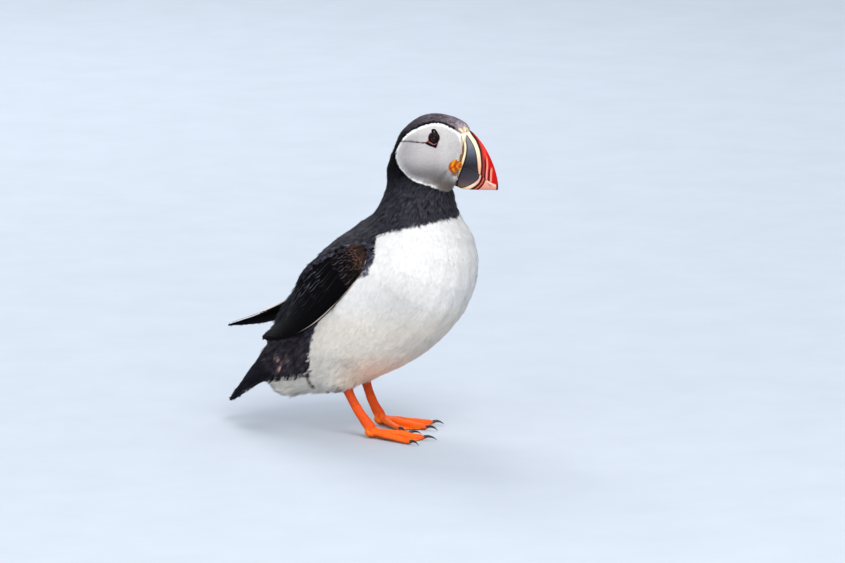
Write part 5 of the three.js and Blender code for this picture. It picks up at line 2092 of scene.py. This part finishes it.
@dataclass
class LegAndFoot:
    """One leg with its webbed foot and claws."""

    anatomy: Anatomy
    word: str
    side: int
    ankle: float  # forward of the anchor
    knuckle: float  # where the toes start, forward of the anchor
    leg_left: float = 20.0
    leg_up: float = 33.0
    knuckle_left: float = 23.0
    knuckle_up: float = 4.4
    radii: Spot = (4.4, 3.2, 3.9)  # the shank's at its top, middle and foot
    flat: float = 0.78  # its width as a share of its depth
    turn_in: float = 9.0  # degrees that the foot turns in
    low: float = 0.6  # from here down the shank runs into the foot's own skin
    web_tints: tuple[Array, Array] = (srgb(236, 112, 18), srgb(224, 84, 18))  # a web, and its creases
    toe_tints: tuple[Array, Array] = (srgb(214, 72, 22), srgb(238, 104, 24))  # between scutes, and on them
    toe_end: Array = tone(196, 56, 22)
    web_edge: Array = tone(166, 44, 14)  # where a web meets a toe
    # painted shade on the foot's underside
    underside_shade: Array = tone(120, 52, 26)
    instep: Array = tone(204, 72, 14)
    claw_tints: tuple[Array, Array] = (srgb(52, 44, 42), srgb(20, 18, 20))  # at its root, and further out

    def start(self) -> Array:
        """Where the toes begin."""
        return np.array([self.knuckle, self.side * self.knuckle_left, self.knuckle_up])

    def toe_curve(self, toe: Toe) -> tuple[Curve, Array]:
        """A toe's line and the way it points."""
        yaw = -self.side * math.radians(self.turn_in + toe.spread)
        way = np.array([math.cos(yaw), math.sin(yaw), 0.0])
        start = self.start()
        end = start + way * toe.length
        end[2] = toe.end * 0.82
        middle = (start + end) / 2
        middle[2] = toe.root
        return Curve([start, middle, end]), way

    def shank(self, t: Array, around: int) -> tuple[Array, Array, Array]:
        """The shank's rings, with how far each place lies in a groove between scutes and faces forward."""
        ankle = np.array([self.ankle, self.side * self.leg_left, self.leg_up])
        inside = ankle + np.array([-2.0, 0, 12])
        knuckle = self.start() + np.array([-1.4, 0, 1.8])
        shin = (knuckle + ankle) / 2 + np.array([-1.0, 0, -1])
        line = Curve([inside, ankle, shin, knuckle])
        run = line.run(t)
        across = unit(np.cross(run, np.array([1.0, 0, 0])))
        front = np.cross(across, run)
        shank = self.radii[0] + (self.radii[1] - self.radii[0]) * ease(t, 0.15, 0.5)
        reach = shank + (self.radii[2] - shank) * ease(t, 0.72, 1)
        angle = circle(around)
        facing = np.maximum(np.cos(angle - math.pi / 2), 0)[None] * np.ones((len(t), 1))
        scute = np.abs(np.sin(t * 52))[:, None]
        net = np.sin(t * 150)[:, None] * np.sin(angle * 9)[None]
        swell = 1 + 0.045 * scute * ease(facing, 0.3, 0.8) + 0.02 * net * (1 - ease(facing, 0.3, 0.8))
        wide = np.cos(angle) * reach[:, None] * self.flat * swell
        deep = np.sin(angle) * reach[:, None] * swell
        rings = line.at(t)[:, None] + across[:, None] * wide[..., None] + front[:, None] * deep[..., None]
        return rings, scute, facing

    def leg(self) -> None:
        """The shank, ringed with scutes in front."""
        t = np.linspace(0, 1, 110)
        around = 48
        rings, scute, facing = self.shank(t, around)
        points, faces = loft(rings)
        dark = (1 - ease(scute, 0.0, 0.35)) * ease(facing, 0.3, 0.8)
        # darker red towards the top: painted shadow under the body
        tint = mix(srgb(168, 38, 12), srgb(206, 74, 14), ease(t, 0.2, 0.6))[:, None] * np.ones((1, around, 1))
        tint = loft_tint(mix(tint, srgb(150, 40, 18), 0.6 * dark))
        placed = self.anatomy.body.place(points)
        name, finish = f"shank_{self.word}", LEG_SKIN.material()
        closed_piece(name, placed, faces, tint, finish, "leg_skin", [f"leg_{self.word}"])

    def foot(self) -> None:
        """Toes, heel pad and webs as one skin, with ridged toes and creased webs."""
        body = self.anatomy.body
        form = bmesh.new()
        for toe in TOES:
            self.add_loft(form, self.toe_rings(toe))
        for first, second in zip(TOES, TOES[1:]):
            self.add_loft(form, self.web_rings(first, second))
        self.add_loft(form, self.shank(np.linspace(self.low, 1, 24), 32)[0])
        centre = body.place(self.start() + np.array([-0.8, 0, -0.6]))
        pad = Matrix.Translation(Vector(centre)) @ Matrix.Diagonal([4.2 * MM, 5.2 * MM, 3.8 * MM, 1])
        bmesh.ops.create_icosphere(form, subdivisions=3, radius=1, matrix=pad)
        mesh = remeshed(form, f"foot_{self.word}", 0.5, 6)
        points, normals, _ = read_mesh(mesh)
        local = body.measure(points)
        height, colour = self.foot_relief(local, body.read(normals))
        points = points + normals * ((height + 0.22 * ease(local[:, 2], 4, 9)) * MM)[:, None]
        points[:, 2] = np.maximum(points[:, 2], 0.0)
        mesh.vertices.foreach_set("co", points.astype(np.float32).ravel())
        paint(mesh, colour)
        mesh.shade_smooth()
        piece = link(f"webbed_foot_{self.word}", mesh)
        hand_over(piece, WEB_SKIN.material(), [f"foot_{self.word}"])

    def add_loft(self, form: bmesh.types.BMesh, rings: Array) -> None:
        """Adds a closed loft, given in the body's axes, to a form."""
        points, faces = loft(rings)
        vertices = [form.verts.new(place) for place in self.anatomy.body.place(points).tolist()]
        for rows in faces:
            for row in rows.tolist():
                form.faces.new([vertices[i] for i in row])
        bmesh.ops.recalc_face_normals(form, faces=form.faces)

    def toe_rings(self, toe: Toe) -> Array:
        """A toe's rings, thicker at its joints and blunt at its end."""
        line, way = self.toe_curve(toe)
        t = np.linspace(0, 1, 40)
        angle = circle(20)
        across = np.cross(np.array([0, 0, 1.0]), way)
        joint = 1 + 0.1 * np.cos(t * 6 * math.pi) * (1 - t)
        blunt = 1 - 0.6 * ease(t, 0.9, 1)
        reach = ((toe.root + (toe.end - toe.root) * t) * joint * blunt)[:, None]
        rings = line.at(t)[:, None] + across * (np.cos(angle) * reach)[..., None]
        return rings + np.array([0, 0, 0.9]) * (np.sin(angle) * reach)[..., None]

    def web_rings(self, first: Toe, second: Toe) -> Array:
        """A web's rings, from the toes' root to its hollowed front edge."""
        a, b = self.toe_curve(first)[0], self.toe_curve(second)[0]
        rows, columns = 22, 16
        s = np.linspace(0.04, 0.95, rows)[:, None, None]
        x = np.linspace(0, 1, columns)[None, :, None]
        hollow = 1 - 0.16 * 4 * x * (1 - x)
        share = (s * hollow)[..., 0]
        near = a.at(share.ravel()).reshape(rows, columns, 3)
        far = b.at(share.ravel()).reshape(rows, columns, 3)
        sheet = near + (far - near) * x
        sheet[..., 2] = 1.1 + 0.35 * np.sin(x[..., 0] * 9 + s[..., 0] * 5) * np.sin(x[..., 0] * math.pi)
        top, under = sheet.copy(), sheet[:, ::-1].copy()
        under[..., 2] = 0.15
        return np.concatenate([top, under], 1)

    def foot_relief(self, local: Array, normals: Array) -> tuple[Array, Array]:
        """Heights and colours: ridges over the toes, creases along the webs, painted shade on the underside.
        """
        height = np.zeros(len(local))
        nearest = np.full(len(local), 99.0)
        ridges = np.zeros(len(local))
        share = np.zeros(len(local))
        for toe in TOES:
            line = self.toe_curve(toe)[0].at(np.linspace(0, 1, 60))
            found = Outline(line[:, :2], closed=False).nearest(local[:, :2])
            reach = toe.root + (toe.end - toe.root) * found.share
            here = found.distance / reach
            closer = here < nearest
            nearest = np.where(closer, here, nearest)
            ridges = np.where(closer, np.abs(np.sin(found.share * toe.length * 2.1)), ridges)
            share = np.where(closer, found.share, share)
        on_toe = 1 - ease(nearest, 0.85, 1.25)
        top = ease(normals[:, 2], 0.1, 0.5)
        height += on_toe * top * (0.16 * ridges - 0.06)
        out = local[:, :2] - self.start()[:2]
        bearing = np.arctan2(out[:, 1], out[:, 0])
        crease = np.sin(bearing * 46 + 0.9 * np.sin(np.hypot(*out.T) * 0.6))
        height += (1 - on_toe) * top * 0.1 * crease
        web = mix(*self.web_tints, ease(crease, -0.2, -0.9))
        toe_tint = mix(*self.toe_tints, ease(ridges, 0.1, 0.7))
        toe_tint = mix(toe_tint, self.toe_end, 0.5 * ease(share, 0.75, 1))
        border = hump(nearest, 1.12, 0.22)
        colour = mix(web, toe_tint, on_toe)
        colour = mix(colour, self.web_edge, 0.6 * border * top)
        # darker where the foot faces down: painted shade
        colour = mix(colour, self.underside_shade, 0.6 * ease(-normals[:, 2], 0.2, 0.8))
        return height, mix(colour, self.instep, ease(local[:, 2], 5.5, 9.5))

    def claw(self, toe: Toe) -> None:
        """A curved, pointed claw."""
        line, way = self.toe_curve(toe)
        end = line.at(1.0)[0]
        across = np.cross(np.array([0, 0, 1.0]), way)

        def reach(far: float, high: float) -> Array:
            place = end + way * far * toe.claw
            place[2] = high
            return place

        bend = Curve([reach(-0.2, 2.1), reach(0.25, 2.7), reach(0.7, 2.0), reach(1, 0.5)])
        t = np.linspace(0, 1, 36)
        angle = circle(24)
        thick = (1.5 + (0.2 - 1.5) * t**0.9)[:, None]
        keel = 1 - 0.18 * np.maximum(-np.sin(angle), 0)
        rings = bend.at(t)[:, None] + across * (np.cos(angle) * thick * 0.78)[..., None]
        rings = rings + np.array([0, 0, 1.0]) * (np.sin(angle) * thick * keel)[..., None]
        rings[..., 2] = np.maximum(rings[..., 2], 0.02)
        points, faces = loft(rings)
        tint = mix(*self.claw_tints, ease(t, 0, 0.35))[:, None]
        tint = loft_tint(tint * np.ones((1, len(angle), 1)))
        placed = self.anatomy.body.place(points)
        name, finish = f"claw_{self.word}_{toe.name}", CLAW_HORN.material()
        closed_piece(f"horn_{name}", placed, faces, tint, finish, "claw_horn", [name])

    def build(self) -> None:
        """Builds leg, foot and claws."""
        self.leg()
        self.foot()
        for toe in TOES:
            self.claw(toe)


# ------------------------------------------------------------------------------- studio


@dataclass
class Studio:
    """A pale floor, soft light and the camera."""

    anatomy: Anatomy
    bearing: float = 22.0  # degrees the camera stands round from the bird's side towards its front
    height: float = 10.0  # degrees over the horizon
    distance: float = 5.0  # metres
    lens: float = 304.3
    aim: Pair = (15.75, 106.05)  # right and up of the anchor in the view, in millimetres

    def camera(self) -> None:
        """Places the camera."""
        turn, rise = math.radians(self.bearing), math.radians(self.height)
        right = Vector((math.sin(turn), -math.cos(turn), 0))
        back = Vector((-math.cos(turn) * math.cos(rise), -math.sin(turn) * math.cos(rise), math.sin(rise)))
        up = back.cross(right)
        target = Vector(self.anatomy.body.origin) + right * self.aim[0] * MM + up * self.aim[1] * MM
        data = bpy.data.cameras.new("camera")
        data.lens = self.lens
        data.sensor_width = 36
        data.clip_start = 0.05
        data.clip_end = 60
        seat = link("camera", data)
        turned = Matrix((right, up, back)).transposed().to_4x4()
        seat.matrix_world = Matrix.Translation(target + back * self.distance) @ turned
        bpy.context.scene.camera = seat

    def floor(self) -> None:
        """A wide pale floor."""
        shader = Shader("studio_floor")
        shade = shader.span(shader.noise(60, 3), 0.97, 1.03)
        shader.feed(shader.surface, "Base Color", shader.scaled(tuple(srgb(178, 186, 196)), shade))
        shader.feed(shader.surface, "Roughness", shader.span(shader.noise(25, 3), 0.75, 0.9))
        mesh = bpy.data.meshes.new("floor")
        reach = 30.0
        corners = [(-reach, -reach, 0), (reach, -reach, 0), (reach, reach, 0), (-reach, reach, 0)]
        mesh.from_pydata(corners, [], [(0, 1, 2, 3)])
        mesh.materials.append(shader.material)
        piece = link("floor", mesh)
        piece.location.z = -0.2 * MM

    def light(self, name: str, place: Spot, size: float, power: float, tint: tuple[float, ...]) -> None:
        """A soft square light that looks at the bird."""
        data = bpy.data.lights.new(name, "AREA")
        data.size = size
        data.energy = power
        data.color = tint
        lamp = link(name, data)
        lamp.location = place
        middle = Vector((0, 0, 0.12))
        lamp.rotation_euler = (middle - lamp.location).to_track_quat("-Z", "Y").to_euler()

    def build(self) -> None:
        """Sets the whole studio."""
        self.camera()
        self.floor()
        # Each lamp: name, place in metres, size in metres, power in watts, tint.
        self.light("key", (-1.4, -1.5, 2.6), 1.6, 72, (1.0, 0.985, 0.96))
        self.light("fill", (-2.6, 0.9, 1.2), 2.2, 20, (0.93, 0.96, 1.0))
        self.light("bounce", (-2.2, -1.2, 0.3), 1.6, 34, (1.0, 0.92, 0.82))
        self.light("rim", (1.6, 1.4, 1.8), 1.4, 34, (1.0, 1.0, 1.0))
        world = bpy.data.worlds.new("studio")
        world.use_nodes = True
        sky = world.node_tree.nodes["Background"]
        sky.inputs["Color"].default_value = (0.86, 0.91, 1.0, 1)
        sky.inputs["Strength"].default_value = 0.8
        bpy.context.scene.world = world
        bpy.context.scene.view_settings.view_transform = "Standard"


# ------------------------------------------------------------------------------- assembly

# Each wing: the blade's line (forward, left, up), its girths (half breadth, half thickness, roll in
# radians) and its pale edge lines. Both start at the shoulder alike.
SHOULDER = ((-9, 42, 136.5), (-18.2, 43.5, 129), (-37.6, 43.5, 112.4))
SHOULDER_GIRTHS = ((4.5, 4, 0.3), (13.5, 6, 0.3), (18.4, 6, 0.36))
WING_RIGHT = (
    (*SHOULDER, (-59.5, 33.5, 92.4), (-79, 18, 74.5), (-94.5, 4, 65.9), (-107.5, -8, 58)),
    (*SHOULDER_GIRTHS, (20.8, 5, 0.65), (20, 3.6, 1.05), (9.2, 1.8, 1.2), (1.2, 0.7, 1.25)),
    ((0.985, 0.12, 0.36, 0.14), (0.985, 0.3, 0.54, 0.26), (0.985, 0.03, 0.11, 0.55)),
)
WING_LEFT = (
    (*SHOULDER, (-61, 32, 97), (-85, 17.5, 82), (-109.5, 9, 72.6), (-132.5, 4, 67)),
    (*SHOULDER_GIRTHS, (19.5, 5, 0.62), (13, 3.2, 0.95), (7.6, 1.6, 1), (1, 0.7, 0.9)),
    ((0.985, 0.1, 0.98, 0.2), (-0.985, 0.5, 0.98, 0.42)),
)
# Each leg's ankle and knuckle, forward of the anchor.
ANKLES = {"left": (-34.5, -23.0), "right": (-31.5, -11.0)}


def main() -> None:
    """Builds the bird, piece by piece, and the studio round it."""
    logging.basicConfig(level=logging.INFO, format="%(message)s")
    anatomy = Anatomy(frame["nodes"])
    Studio(anatomy).build()
    markings = Markings(anatomy)
    flesh = Flesh(anatomy, markings)
    flesh.build()
    Bill(anatomy).build()
    for word, side in SIDES:
        EyeSurround(anatomy, word, side).build(flesh)
        Rosette(anatomy, word, side).build()
        LegAndFoot(anatomy, word, side, *ANKLES[word]).build()
        places, girths, rims = WING_LEFT if side > 0 else WING_RIGHT
        FoldedWing(anatomy, word, side, places, girths, wing_rows(), rims).build()
    Tail(anatomy).build()
    Coat(anatomy, markings, flesh, Lie(anatomy)).build()
    bpy.context.view_layer.update()


if __name__ == "__main__":
    main()
